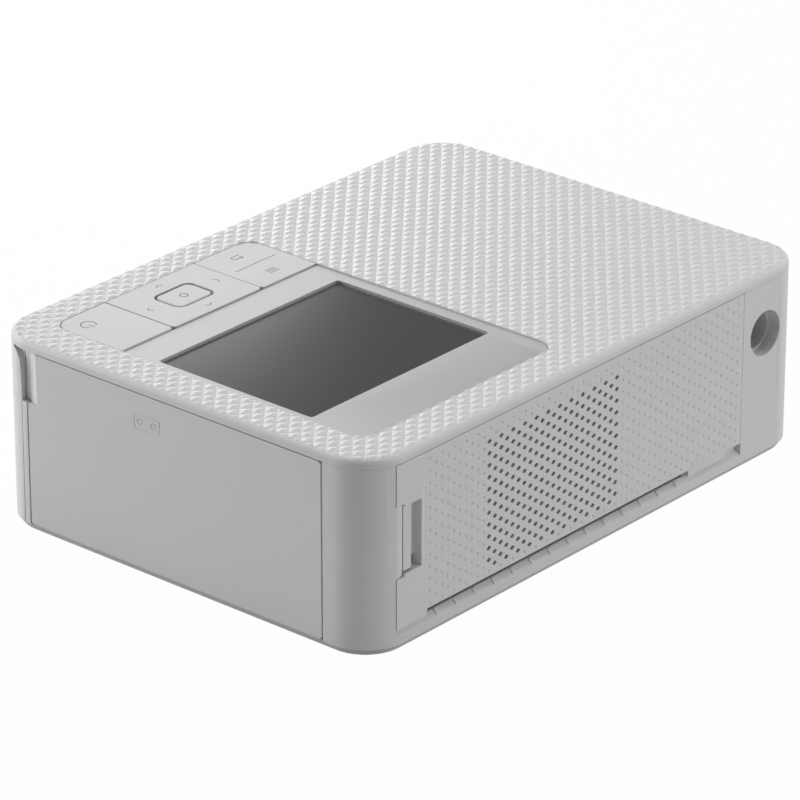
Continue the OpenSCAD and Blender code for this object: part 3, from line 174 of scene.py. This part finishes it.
def tint(tree, colour, tone):
    scale = tree.nodes.new("ShaderNodeVectorMath")
    scale.operation = "SCALE"
    scale.inputs[0].default_value = colour
    tree.links.new(tone, scale.inputs["Scale"])
    return scale.outputs[0]


def bumpFrom(tree, height, strength, distance):
    bump = tree.nodes.new("ShaderNodeBump")
    bump.inputs["Strength"].default_value = strength
    bump.inputs["Distance"].default_value = distance
    tree.links.new(height, bump.inputs["Height"])
    return bump.outputs["Normal"]


def mouldedPlastic(name, colour, rough=0.5, grain=4000, bump=0.15):
    material, tree, shader = newMaterial(name)
    skin = useGroup(tree, grainGroup, {"Scale": grain})
    relief = bumpFrom(tree, skin.outputs["Height"], bump, finish["grainDepth"] * mm)
    tree.links.new(tint(tree, colour, skin.outputs["Tone"]), shader.inputs["Base Color"])
    tree.links.new(addMath(tree, "ADD", skin.outputs["Rough Shift"], rough), shader.inputs["Roughness"])
    tree.links.new(relief, shader.inputs["Normal"])
    return material


def metal(name, colour, rough, scale=900, stretch=30, bump=0.1):
    material, tree, shader = newMaterial(name)
    lines = useGroup(tree, brushGroup, {"Scale": scale, "Stretch": stretch})
    tree.links.new(tint(tree, colour, lines.outputs["Tone"]), shader.inputs["Base Color"])
    tree.links.new(addMath(tree, "MULTIPLY", lines.outputs["Tone"], rough), shader.inputs["Roughness"])
    relief = bumpFrom(tree, lines.outputs["Height"], bump, finish["lineDepth"] * mm)
    tree.links.new(relief, shader.inputs["Normal"])
    shader.inputs["Metallic"].default_value = 1.0
    return material


def boardMaterial(name):
    # solder mask with a net of darker traces
    material, tree, shader = newMaterial(name)
    place = tree.nodes.new("ShaderNodeTexCoord")
    bricks = tree.nodes.new("ShaderNodeTexBrick")
    bricks.inputs["Scale"].default_value = finish["traceScale"]
    bricks.inputs["Mortar Size"].default_value = finish["traceGap"]
    bricks.inputs["Color1"].default_value = (0.012, 0.1, 0.04, 1)
    bricks.inputs["Color2"].default_value = (0.016, 0.12, 0.05, 1)
    bricks.inputs["Mortar"].default_value = (0.03, 0.19, 0.09, 1)
    tree.links.new(place.outputs["Object"], bricks.inputs["Vector"])
    tree.links.new(bricks.outputs["Color"], shader.inputs["Base Color"])
    relief = bumpFrom(tree, bricks.outputs["Fac"], finish["traceBump"], finish["grainDepth"] * mm)
    tree.links.new(relief, shader.inputs["Normal"])
    shader.inputs["Roughness"].default_value = finish["boardRough"]
    return material


def glassMaterial(name, low, high, reflectionBand):
    # dark cover glass with a lighter grey band painted round the active area: a painted reflection of the
    # bezel recess wall in the glass
    material, tree, shader = newMaterial(name)
    place = tree.nodes.new("ShaderNodeTexCoord")
    split = tree.nodes.new("ShaderNodeSeparateXYZ")
    tree.links.new(place.outputs["Object"], split.inputs[0])
    inside = None
    for axis in (0, 1):
        for sign, limit in ((1, low[axis] + reflectionBand), (-1, -(high[axis] - reflectionBand))):
            signed = addMath(tree, "MULTIPLY", split.outputs[axis], sign)
            edge = addMath(tree, "GREATER_THAN", signed, limit)
            inside = edge if inside is None else addMath(tree, "MULTIPLY", inside, edge)
    mix = tree.nodes.new("ShaderNodeMix")
    mix.data_type = "RGBA"
    # A: lighter grey band painted round the edge as the recess wall's reflection in the glass; B: the
    # dark active area
    mix.inputs["A"].default_value = (0.11, 0.11, 0.113, 1)
    mix.inputs["B"].default_value = (0.01, 0.0103, 0.011, 1)
    tree.links.new(inside, mix.inputs["Factor"])
    tree.links.new(mix.outputs["Result"], shader.inputs["Base Color"])
    shader.inputs["Roughness"].default_value = finish["glassRough"]
    shader.inputs["IOR"].default_value = finish["glassIor"]
    return material


whitePlastic = mouldedPlastic("whitePlastic", (0.66, 0.66, 0.665), 0.52)
patternPlastic = mouldedPlastic("patternPlastic", (0.74, 0.74, 0.745), 0.45, bump=0.08)
trayPlastic = mouldedPlastic("trayPlastic", (0.46, 0.46, 0.465), 0.55)
keyPlastic = mouldedPlastic("keyPlastic", (0.64, 0.64, 0.645), 0.5, bump=0.06)
bezelPlastic = mouldedPlastic("bezelPlastic", (0.52, 0.52, 0.525), 0.4, bump=0.05)
linerPlastic = mouldedPlastic("linerPlastic", (0.27, 0.27, 0.275), 0.5)
darkPlastic = mouldedPlastic("darkPlastic", (0.03, 0.03, 0.032), 0.45)
modulePlastic = mouldedPlastic("modulePlastic", (0.02, 0.02, 0.022), 0.4)
cassettePlastic = mouldedPlastic("cassettePlastic", (0.11, 0.12, 0.14), 0.42)
gearPlastic = mouldedPlastic("gearPlastic", (0.75, 0.73, 0.66), 0.38)
cablePlastic = mouldedPlastic("cablePlastic", (0.65, 0.62, 0.5), 0.4)
ribbonFilm = mouldedPlastic("ribbonFilm", (0.01, 0.01, 0.06), 0.18, grain=900, bump=0.04)
footRubber = mouldedPlastic("footRubber", (0.035, 0.035, 0.036), 0.85, grain=2500, bump=0.3)
rollerRubber = mouldedPlastic("rollerRubber", (0.018, 0.018, 0.018), 0.75, grain=3000, bump=0.3)
symbolPaint = mouldedPlastic("symbolPaint", (0.18, 0.18, 0.185), 0.5)
screwSteel = metal("screwSteel", (0.55, 0.56, 0.58), 0.35)
brightSteel = metal("brightSteel", (0.72, 0.72, 0.74), 0.18)
sheetSteel = metal("sheetSteel", (0.5, 0.52, 0.55), 0.42, 400, 4)
motorSteel = metal("motorSteel", (0.6, 0.6, 0.62), 0.32)
contactBrass = metal("contactBrass", (0.78, 0.55, 0.22), 0.28)
headAluminium = metal("headAluminium", (0.68, 0.69, 0.71), 0.34, 700, 40)
boardGreen = boardMaterial("boardGreen")
glassLow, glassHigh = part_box("display_glass")
# the screen glass gets a grey band painted round its edge as a painted reflection of the recess wall
screenGlass = glassMaterial("screenGlass", glassLow, glassHigh, finish["glassReflectionBand"] * mm)

slotMaterial = {
    "white_plastic": whitePlastic, "pattern_plastic": patternPlastic, "tray_plastic": trayPlastic,
    "key_plastic": keyPlastic, "bezel_plastic": bezelPlastic, "screen_glass": screenGlass,
    "module_plastic": modulePlastic, "dark_plastic": darkPlastic, "liner_plastic": linerPlastic,
    "foot_rubber": footRubber, "roller_rubber": rollerRubber, "screw_steel": screwSteel,
    "bright_steel": brightSteel, "sheet_steel": sheetSteel, "motor_steel": motorSteel,
    "contact_brass": contactBrass, "board_green": boardGreen, "cable_plastic": cablePlastic,
    "gear_plastic": gearPlastic, "head_aluminium": headAluminium, "cassette_plastic": cassettePlastic,
    "ribbon_film": ribbonFilm,
}
slotOf = {part["node"]: part["material_slot"] for part in frame["record"]["subparts"]}
bodyOf = {name: body for body, names in frame["record"]["behaviour"]["bodies"].items() for name in names}
for name, node in nodes.items():
    node.data.materials.clear()
    node.data.materials.append(slotMaterial[slotOf[name]])
print("materials done")


def addPiece(name, mesh, body, material):
    piece = bpy.data.objects.new(name, mesh)
    bpy.context.scene.collection.objects.link(piece)
    mesh.materials.clear()
    mesh.materials.append(material)
    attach(piece, body)
    return piece


def smoothByAngle(mesh, degrees=35):
    mesh.polygons.foreach_set("use_smooth", [True] * len(mesh.polygons))
    mesh.set_sharp_from_angle(angle=math.radians(degrees))


def addBevel(piece, width, segments=2, degrees=38):
    bevel = piece.modifiers.new("softEdge", "BEVEL")
    bevel.width = width
    bevel.segments = segments
    bevel.limit_method = "ANGLE"
    bevel.angle_limit = math.radians(degrees)
    bevel.harden_normals = True


def copyNode(name):
    bm = bmesh.new()
    bm.from_mesh(nodes[name].data)
    bmesh.ops.remove_doubles(bm, verts=bm.verts, dist=mergeGap)
    bmesh.ops.dissolve_limit(bm, angle_limit=math.radians(flatAngle), verts=bm.verts, edges=bm.edges)
    return bm


def meshFrom(bm, name):
    mesh = bpy.data.meshes.new(name)
    bm.to_mesh(mesh)
    bm.free()
    smoothByAngle(mesh)
    return mesh


def softened(name, width):
    mesh = meshFrom(copyNode(name), name + "Soft")
    piece = addPiece(name + "Soft", mesh, bodyOf[name], slotMaterial[slotOf[name]])
    if width:
        addBevel(piece, width)
    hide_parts(name)


# width of the soft edge of each piece, mm
softEdges = {
    "main_casing": 0.25, "top_cover": 0.25, "base_tray": 0.2, "paper_door": 0.2,
    "display_bezel": 0.15, "power_key": 0.25, "nav_pad": 0.25, "ok_key": 0.35,
    "back_menu_key": 0.25, "rubber_feet": 0.2, "battery_contact": 0.15, "inlet_jack": 0.15,
    "display_glass": 0.08, "ink_cassette": 0.2, "supply_spool": 0.1, "take_up_spool": 0.1,
    "ink_ribbon": 0, "platen_roller": 0.1, "capstan": 0, "pinch_roller": 0, "bay_liner": 0.15,
    "print_head": 0.15, "head_arms": 0.1, "pick_tyre": 0.1,
}
for name, width in softEdges.items():
    softened(name, width * mm)
print("softened pieces done")


# patterned plate: rows of four-sided pyramids that fade at the rim, sizes in mm
plate = {
    "pitch": (5.14, 4.25), "phase": (0.86, 0.55), "outlineInset": 0.5, "windowRadius": 5.5,
    "window": (2.0, 79.2, -55.75, 54.0), "windowGap": 0.1, "rimRadius": 1.6, "rimFade": 1.1,
    "cornerRadius": 12.8, "rimLift": 0.03, "fineBand": 2.2, "valley": 0.05, "sheet": 0.35, "nudge": 0.01,
}


def roundedBoxDistance(point, low, high, radius):
    # signed distance to a rounded rectangle, negative inside
    centre = (low + high) / 2
    away = point - centre
    reach = Vector((abs(away.x), abs(away.y))) - (high - low) / 2 + Vector((radius, radius))
    outside = Vector((max(reach.x, 0), max(reach.y, 0))).length
    return outside + min(max(reach.x, reach.y), 0) - radius


def makePatternedPlate():
    low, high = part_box("patterned_plate")
    inset = plate["outlineInset"] * mm
    outerLow, outerHigh = Vector((cadLow.x, cadLow.y)), Vector((cadHigh.x, cadHigh.y))
    x0, x1, y0, y1 = [value * mm for value in plate["window"]]
    gap = plate["windowGap"] * mm
    windowLow, windowHigh = Vector((x0 - gap, y0 - gap)), Vector((x1 + gap, y1 + gap))
    cornerRadius = plate["cornerRadius"] * mm
    stepX, stepY = plate["pitch"][0] * mm / 2, plate["pitch"][1] * mm / 2
    columns = int((outerHigh.x - outerLow.x) / stepX / 2) + 2
    rows = int((outerHigh.y - outerLow.y) / stepY / 2) + 2
    bm = bmesh.new()
    bmesh.ops.create_grid(bm, x_segments=2 * columns, y_segments=2 * rows, size=1)
    centre = (outerLow + outerHigh) / 2
    valleys = []
    for vert in bm.verts:
        column = round((vert.co.x + 1) * columns)
        row = round((vert.co.y + 1) * rows)
        isPeak = (column + row) % 2 == 0
        vert.co.x = centre.x + (column - columns) * stepX + plate["phase"][0] * mm
        vert.co.y = centre.y + (row - rows) * stepY + plate["phase"][1] * mm
        vert.co.z = 1.0 if isPeak else 0.0
        if not isPeak:
            valleys.append(vert)
    bmesh.ops.connect_verts(bm, verts=valleys)
    bmesh.ops.subdivide_edges(bm, edges=bm.edges[:], cuts=1, use_grid_fill=True)

    def rimDistance(point):
        return roundedBoxDistance(point, outerLow, outerHigh, cornerRadius)

    def beyond(point):
        window = roundedBoxDistance(point, windowLow, windowHigh, plate["windowRadius"] * mm)
        return max(rimDistance(point) + inset, -window)

    far = {vert: beyond(vert.co.xy) for vert in bm.verts}
    away = [face for face in bm.faces if all(far[vert] > 0 for vert in face.verts)]
    bmesh.ops.delete(bm, geom=away, context="FACES")
    nudge = plate["nudge"] * mm
    for vert in bm.verts:
        for _ in range(2):
            over = beyond(vert.co.xy)
            if over > 0:
                slope = Vector((
                    beyond(vert.co.xy + Vector((nudge, 0))) - over,
                    beyond(vert.co.xy + Vector((0, nudge))) - over,
                )) / nudge
                vert.co.xy = vert.co.xy - slope.normalized() * over
    band = plate["fineBand"] * mm
    fine = [edge for edge in bm.edges if all(-rimDistance(vert.co.xy) < band for vert in edge.verts)]
    bmesh.ops.subdivide_edges(bm, edges=fine, cuts=1)
    bmesh.ops.triangulate(bm, faces=[face for face in bm.faces if len(face.verts) > 4])
    rim = plate["rimRadius"] * mm
    for vert in bm.verts:
        depth = max(0.0, -rimDistance(vert.co.xy))
        short = max(0.0, rim - depth)
        drop = rim - math.sqrt(max(0.0, rim * rim - short * short))
        fade = min(1.0, max(0.0, depth - inset) / (plate["rimFade"] * mm))
        height = (plate["valley"] + (1 - plate["valley"]) * vert.co.z) * fade
        lift = plate["rimLift"] * mm if short > 0 else 0.0
        vert.co.z = low.z - drop + lift + (high.z - low.z) * height
    lower = bmesh.ops.extrude_face_region(bm, geom=bm.faces[:])
    sunk = [item for item in lower["geom"] if isinstance(item, bmesh.types.BMVert)]
    bmesh.ops.translate(bm, verts=sunk, vec=(0, 0, -plate["sheet"] * mm))
    bmesh.ops.recalc_face_normals(bm, faces=bm.faces[:])
    mesh = bpy.data.meshes.new("patternedPlateTop")
    bm.to_mesh(mesh)
    bm.free()
    body = bodyOf["patterned_plate"]
    piece = addPiece("patternedPlateTop", mesh, body, patternPlastic)
    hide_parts("patterned_plate")


makePatternedPlate()
print("patterned plate done")


# vent panel, sizes in mm; steps and places are along X and Z
vent = {
    "step": (2.375, 1.7), "lastHole": (44.325, 48.45), "holeColumns": 22, "holeRows": 21, "lap": 1.65,
    "skin": 0.5, "skinEnd": 70.0, "footTop": 9.75, "dimplesX": (-61.3, 68.1), "dimplesZ": (10.3, 52.6),
    "half": (0.975, 0.725), "dimpleShare": 0.95, "apex": (-0.2, 0.16), "dip": 0.36, "split": 0.02,
    "endShare": 0.3,
}


def makeVentBack():
    # the panel itself, its outer face cut back to make room for the skin
    low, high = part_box("vent_panel")
    endX, footZ, split = [vent[key] * mm for key in ("skinEnd", "footTop", "split")]
    back = copyNode("vent_panel")
    cuts = (((endX, 0, 0), (1, 0, 0)), ((endX - split, 0, 0), (1, 0, 0)),
            ((0, 0, footZ), (0, 0, 1)), ((0, 0, footZ + split), (0, 0, 1)))
    for place, normal in cuts:
        everything = back.verts[:] + back.edges[:] + back.faces[:]
        bmesh.ops.bisect_plane(back, geom=everything, plane_co=place, plane_no=normal)
    for vert in back.verts:
        isLeft = vert.co.x < endX - split / 2
        if isLeft and vert.co.z > footZ + split / 2 and vert.co.y > high.y - split / 2:
            vert.co.y -= vent["skin"] * mm
    mesh = meshFrom(back, "ventPanelBack")
    piece = addPiece("ventPanelBack", mesh, bodyOf["vent_panel"], whitePlastic)
    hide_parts("vent_panel")


def ventLines(axis, start, end):
    # places of the grid lines between two ends, with the lattice number of the first one inside
    step, origin = vent["step"][axis] * mm, vent["lastHole"][axis] * mm
    first = math.ceil((start - origin) / step + vent["endShare"])
    last = math.floor((end - origin) / step - vent["endShare"])
    return [start] + [origin + index * step for index in range(first, last + 1)] + [end], first - 1


def makeVentSkin():
    # a skin with the open holes and the blind dimples that carry their pattern on to the panel's edges
    low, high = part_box("vent_panel")
    front = high.y
    xs, firstColumn = ventLines(0, low.x + vent["lap"] * mm, (vent["skinEnd"] - vent["split"]) * mm)
    zs, firstRow = ventLines(1, (vent["footTop"] + vent["split"]) * mm, high.z)
    bm = bmesh.new()
    bmesh.ops.create_grid(bm, x_segments=len(xs) - 1, y_segments=len(zs) - 1, size=1)
    marked = []
    for vert in bm.verts:
        column = round((vert.co.x + 1) / 2 * (len(xs) - 1))
        row = round((vert.co.y + 1) / 2 * (len(zs) - 1))
        vert.co = (xs[column], front, zs[row])
        isInside = all(
            ends[0] * mm < value < ends[1] * mm
            for ends, value in ((vent["dimplesX"], vert.co.x), (vent["dimplesZ"], vert.co.z))
        )
        if isInside and (firstColumn + column + firstRow + row) % 2 == 0:
            marked.append(vert)
    cells = bmesh.ops.bevel(
        bm, geom=marked, offset=vent["half"][0] * mm, offset_type="OFFSET", affect="VERTICES",
        segments=1, profile=0.5, material=-1,
    )["faces"]
    holes, dimples = [], []
    for cell in cells:
        middle = cell.calc_center_median()
        column = round((middle.x - vent["lastHole"][0] * mm) / (vent["step"][0] * mm))
        row = round((middle.z - vent["lastHole"][1] * mm) / (vent["step"][1] * mm))
        isHole = -vent["holeColumns"] <= column <= 0 and -vent["holeRows"] <= row <= 0
        share = 1.0 if isHole else vent["dimpleShare"]
        for vert in cell.verts:
            vert.co.x = middle.x + (vert.co.x - middle.x) * share
            vert.co.z = middle.z + (vert.co.z - middle.z) * share * vent["half"][1] / vent["half"][0]
        (holes if isHole else dimples).append(cell)
    for vert in bmesh.ops.poke(bm, faces=dimples)["verts"]:
        vert.co += Vector((vent["apex"][0], -vent["dip"], vent["apex"][1])) * mm
    bmesh.ops.delete(bm, geom=holes, context="FACES_ONLY")
    backSide = bmesh.ops.extrude_face_region(bm, geom=bm.faces[:])
    for item in backSide["geom"]:
        if isinstance(item, bmesh.types.BMVert):
            item.co.y = front - vent["skin"] * mm
    bmesh.ops.recalc_face_normals(bm, faces=bm.faces[:])
    mesh = bpy.data.meshes.new("ventPanelSkin")
    bm.to_mesh(mesh)
    bm.free()
    piece = addPiece("ventPanelSkin", mesh, bodyOf["vent_panel"], whitePlastic)
    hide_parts("vent_panel")


makeVentBack()
makeVentSkin()
print("vent panel done")


# printed symbols on the keys, sizes in mm; the nav chevrons have a place and a turn
symbols = {
    "stroke": 0.4, "flat": 0.2, "chevron": 1.15, "chevronRise": 0.95,
    "nav": ((41.65, -33.6, 90), (41.65, -52.25, 270), (28.3, -43.1, 180), (54.65, -43.1, 0)),
    "ring": (41.525, -42.925, 1.1), "ringArc": (0, 350), "ringSteps": 27,
    "power": (72.4, -48.75, 2.1), "powerArc": (125, 415), "powerSteps": 28, "powerBar": (0.3, 0.2),
    "arrow": (13.4, -49.4), "arrowBend": (0.8, -0.15, 0.9), "arrowSteps": 12, "arrowEnds": (-1.4, -1.7),
    "arrowHead": ((-0.7, 1.4), (-1.6, 0.75), (-0.7, 0.1)),
    "menu": (13.4, -36.4), "menuBar": 1.8, "menuShifts": (-1.0, 0.0, 1.0),
    "divider": ((5.15, -43.0), (20.9, -43.0)), "top": 57.2,
}


def arcPoints(x, y, radius, start, end, steps):
    turns = [math.radians(start + (end - start) * step / steps) for step in range(steps + 1)]
    return [(x + radius * math.cos(turn), y + radius * math.sin(turn)) for turn in turns]


def strokeMesh(name, strokes, width):
    curve = bpy.data.curves.new(name, "CURVE")
    curve.dimensions = "3D"
    curve.bevel_depth = width * mm / 2
    curve.bevel_resolution = 2
    curve.use_fill_caps = True
    for points, isClosed in strokes:
        spline = curve.splines.new("POLY")
        spline.points.add(len(points) - 1)
        for target, (x, y) in zip(spline.points, points):
            target.co = (x * mm, y * mm, 0, 1)
        spline.use_cyclic_u = isClosed
    helper = bpy.data.objects.new(name, curve)
    bpy.context.scene.collection.objects.link(helper)
    solid = helper.evaluated_get(bpy.context.evaluated_depsgraph_get())
    mesh = bpy.data.meshes.new_from_object(solid)
    bpy.data.objects.remove(helper)
    bm = bmesh.new()
    bm.from_mesh(mesh)
    bmesh.ops.remove_doubles(bm, verts=bm.verts, dist=mergeGap)
    bmesh.ops.recalc_face_normals(bm, faces=bm.faces[:])
    bm.to_mesh(mesh)
    bm.free()
    return mesh


def printedSymbol(name, node, strokes):
    mesh = strokeMesh(name, strokes, symbols["stroke"])
    for vert in mesh.vertices:
        vert.co.z = symbols["top"] * mm + vert.co.z * symbols["flat"]
    smoothByAngle(mesh)
    addPiece(name, mesh, bodyOf[node], symbolPaint)


def makeSymbols():
    reach, rise = symbols["chevron"], symbols["chevronRise"]
    chevrons = []
    for x, y, turn in symbols["nav"]:
        along = Vector((math.cos(math.radians(turn)), math.sin(math.radians(turn))))
        across = Vector((-along.y, along.x)) * reach
        tip = Vector((x, y)) + along * rise / 2
        tail = Vector((x, y)) - along * rise / 2
        chevrons.append(([tuple(tail + across), tuple(tip), tuple(tail - across)], False))
    printedSymbol("navSymbols", "nav_pad", chevrons)
    x, y, radius = symbols["ring"]
    ring = arcPoints(x, y, radius, *symbols["ringArc"], symbols["ringSteps"])
    printedSymbol("ringSymbol", "ok_key", [(ring, True)])
    x, y, radius = symbols["power"]
    start, end = symbols["powerArc"]
    barStart, barRise = symbols["powerBar"]
    printedSymbol("powerSymbol", "power_key", [
        (arcPoints(x, y, radius, start, end, symbols["powerSteps"]), False),
        ([(x, y + barStart), (x, y + radius + barRise)], False),
    ])
    x, y = symbols["arrow"]
    bendX, bendY, bend = symbols["arrowBend"]
    upperEnd, lowerEnd = symbols["arrowEnds"]
    hook = [(x + upperEnd, y + bendY + bend), (x + bendX, y + bendY + bend)]
    hook += arcPoints(x + bendX, y + bendY, bend, 90, -90, symbols["arrowSteps"])
    hook += [(x + lowerEnd, y + bendY - bend)]
    head = [(x + shiftX, y + shiftY) for shiftX, shiftY in symbols["arrowHead"]]
    x, y = symbols["menu"]
    bar = symbols["menuBar"]
    bars = [([(x - bar, y + shift), (x + bar, y + shift)], False) for shift in symbols["menuShifts"]]
    strokes = [(hook, False), (head, False), (list(symbols["divider"]), False)] + bars
    printedSymbol("backMenuSymbols", "back_menu_key", strokes)


makeSymbols()
print("symbols done")


# ink door with a cassette pictogram sunk in its face, sizes in mm along Y and Z
pictogram = {
    "centre": (-10.2, 46.3), "size": (9.0, 4.2), "corner": 0.7, "cornerSteps": 6,
    "spool": 0.85, "spoolArc": (0, 345), "spoolSteps": 23, "spread": 2.4,
    "stroke": 0.36, "soft": 0.2, "flatNormal": 0.9995, "sharpAngle": 30,
}


def makeInkDoor():
    cy, cz = pictogram["centre"]
    width, height = pictogram["size"]
    corner = pictogram["corner"]
    outline = []
    for sideX, sideY, start in ((1, 1, 0), (-1, 1, 90), (-1, -1, 180), (1, -1, 270)):
        middle = (cy + sideX * (width / 2 - corner), cz + sideY * (height / 2 - corner))
        outline += arcPoints(*middle, corner, start, start + 90, pictogram["cornerSteps"])
    strokes = [(outline, True)]
    for side in (-1, 1):
        middleY = cy + side * pictogram["spread"]
        loop = arcPoints(middleY, cz, pictogram["spool"], *pictogram["spoolArc"], pictogram["spoolSteps"])
        strokes.append((loop, True))
    mesh = strokeMesh("pictogramCutter", strokes, pictogram["stroke"])
    for vert in mesh.vertices:
        vert.co = (cadHigh.x + vert.co.z, vert.co.x, vert.co.y)
    cutter = bpy.data.objects.new("pictogramCutter", mesh)
    bpy.context.scene.collection.objects.link(cutter)
    blank = bpy.data.objects.new("inkDoorBlank", meshFrom(copyNode("ink_door"), "inkDoorBlank"))
    bpy.context.scene.collection.objects.link(blank)
    addBevel(blank, pictogram["soft"] * mm)
    cut = blank.modifiers.new("sinkPictogram", "BOOLEAN")
    cut.operation = "DIFFERENCE"
    cut.solver = "EXACT"
    cut.object = cutter
    finished = bpy.data.meshes.new_from_object(blank.evaluated_get(bpy.context.evaluated_depsgraph_get()))
    for helper in (blank, cutter):
        bpy.data.objects.remove(helper)
    smoothByAngle(finished, pictogram["sharpAngle"])
    for polygon in finished.polygons:
        polygon.use_smooth = max(abs(part) for part in polygon.normal) < pictogram["flatNormal"]
    piece = addPiece("inkDoorSoft", finished, bodyOf["ink_door"], whitePlastic)
    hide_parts("ink_door")


makeInkDoor()
print("ink door done")


# studio, in metres; each lamp has a place, a size and a power in watts
studio = {
    "world": 0.16, "floorSize": 3.0, "floorAlbedo": 0.8, "floorRough": 0.9, "floorShare": 0.98,
    "lookAt": (0, 0, 0.03),
    "left": ((0.45, -0.9, 0.28), (0.6, 0.5), 6.6),
    "right": ((-0.8, 1.1, 0.35), (0.9, 0.7), 6.2),
    "top": ((-0.15, 0.05, 1.1), (0.7, 0.7), 4.7),
    "glow": ((-0.272, -0.384, 0.181), (0.2, 0.2), 0.38),
}

view = {
    "angles": (130.8099, 24.7172), "target": (0.001084, -0.001234, 0.024631),
    "lens": 236.3, "sensor": 36.0, "distance": 1.4260, "clipStart": 0.05,
}


def whiteForCamera(tree, shader, share):
    # camera and mirror rays see plain white, softly darkened by the object's shadow
    light = tree.nodes.new("ShaderNodeEmission")
    light.inputs["Color"].default_value = (1, 1, 1, 1)
    rays = tree.nodes.new("ShaderNodeLightPath")
    direct = addMath(tree, "MAXIMUM", rays.outputs["Is Camera Ray"], rays.outputs["Is Glossy Ray"])
    seen = addMath(tree, "MAXIMUM", direct, rays.outputs["Is Transmission Ray"])
    mix = tree.nodes.new("ShaderNodeMixShader")
    tree.links.new(addMath(tree, "MULTIPLY", seen, share), mix.inputs["Fac"])
    tree.links.new(shader.outputs[0], mix.inputs[1])
    tree.links.new(light.outputs[0], mix.inputs[2])
    tree.links.new(mix.outputs[0], tree.nodes["Material Output"].inputs["Surface"])


def makeFloor():
    bm = bmesh.new()
    bmesh.ops.create_grid(bm, x_segments=1, y_segments=1, size=studio["floorSize"])
    mesh = bpy.data.meshes.new("studioFloor")
    bm.to_mesh(mesh)
    bm.free()
    floor = bpy.data.objects.new("studioFloor", mesh)
    bpy.context.scene.collection.objects.link(floor)
    material, tree, shader = newMaterial("floorPaper")
    albedo = studio["floorAlbedo"]
    shader.inputs["Base Color"].default_value = (albedo, albedo, albedo, 1)
    shader.inputs["Roughness"].default_value = studio["floorRough"]
    whiteForCamera(tree, shader, studio["floorShare"])
    mesh.materials.append(material)


def addLamp(name, place, size, power):
    data = bpy.data.lights.new(name, "AREA")
    data.shape = "ELLIPSE"
    data.size, data.size_y = size
    data.energy = power
    lamp = bpy.data.objects.new(name, data)
    bpy.context.scene.collection.objects.link(lamp)
    lamp.location = place
    aim = Vector(studio["lookAt"]) - Vector(place)
    lamp.rotation_euler = aim.to_track_quat("-Z", "Y").to_euler()


def makeWorld():
    world = bpy.data.worlds.new("studioWorld")
    bpy.context.scene.world = world
    world.use_nodes = True
    tree = world.node_tree
    sky = tree.nodes["Background"]
    sky.inputs["Color"].default_value = (1, 1, 1, 1)
    rays = tree.nodes.new("ShaderNodeLightPath")
    direct = addMath(tree, "MAXIMUM", rays.outputs["Is Camera Ray"], rays.outputs["Is Glossy Ray"])
    seen = addMath(tree, "MAXIMUM", direct, rays.outputs["Is Transmission Ray"])
    extra = addMath(tree, "MULTIPLY", seen, 1.0 - studio["world"])
    tree.links.new(addMath(tree, "ADD", extra, studio["world"]), sky.inputs["Strength"])


def makeCamera():
    azimuth, elevation = [math.radians(angle) for angle in view["angles"]]
    level = math.cos(elevation)
    back = Vector((math.sin(azimuth) * level, -math.cos(azimuth) * level, math.sin(elevation)))
    target = Vector(view["target"])
    data = bpy.data.cameras.new("studioCamera")
    data.lens = view["lens"]
    data.sensor_width = view["sensor"]
    data.clip_start = view["clipStart"]
    camera = bpy.data.objects.new("studioCamera", data)
    bpy.context.scene.collection.objects.link(camera)
    camera.location = target + back * view["distance"]
    camera.rotation_euler = (-back).to_track_quat("-Z", "Y").to_euler()
    bpy.context.scene.camera = camera


makeFloor()
makeWorld()
for lampName in ("left", "right", "top", "glow"):
    addLamp(lampName + "Softbox", *studio[lampName])
makeCamera()
bpy.context.scene.view_settings.view_transform = "Standard"
print("studio done")
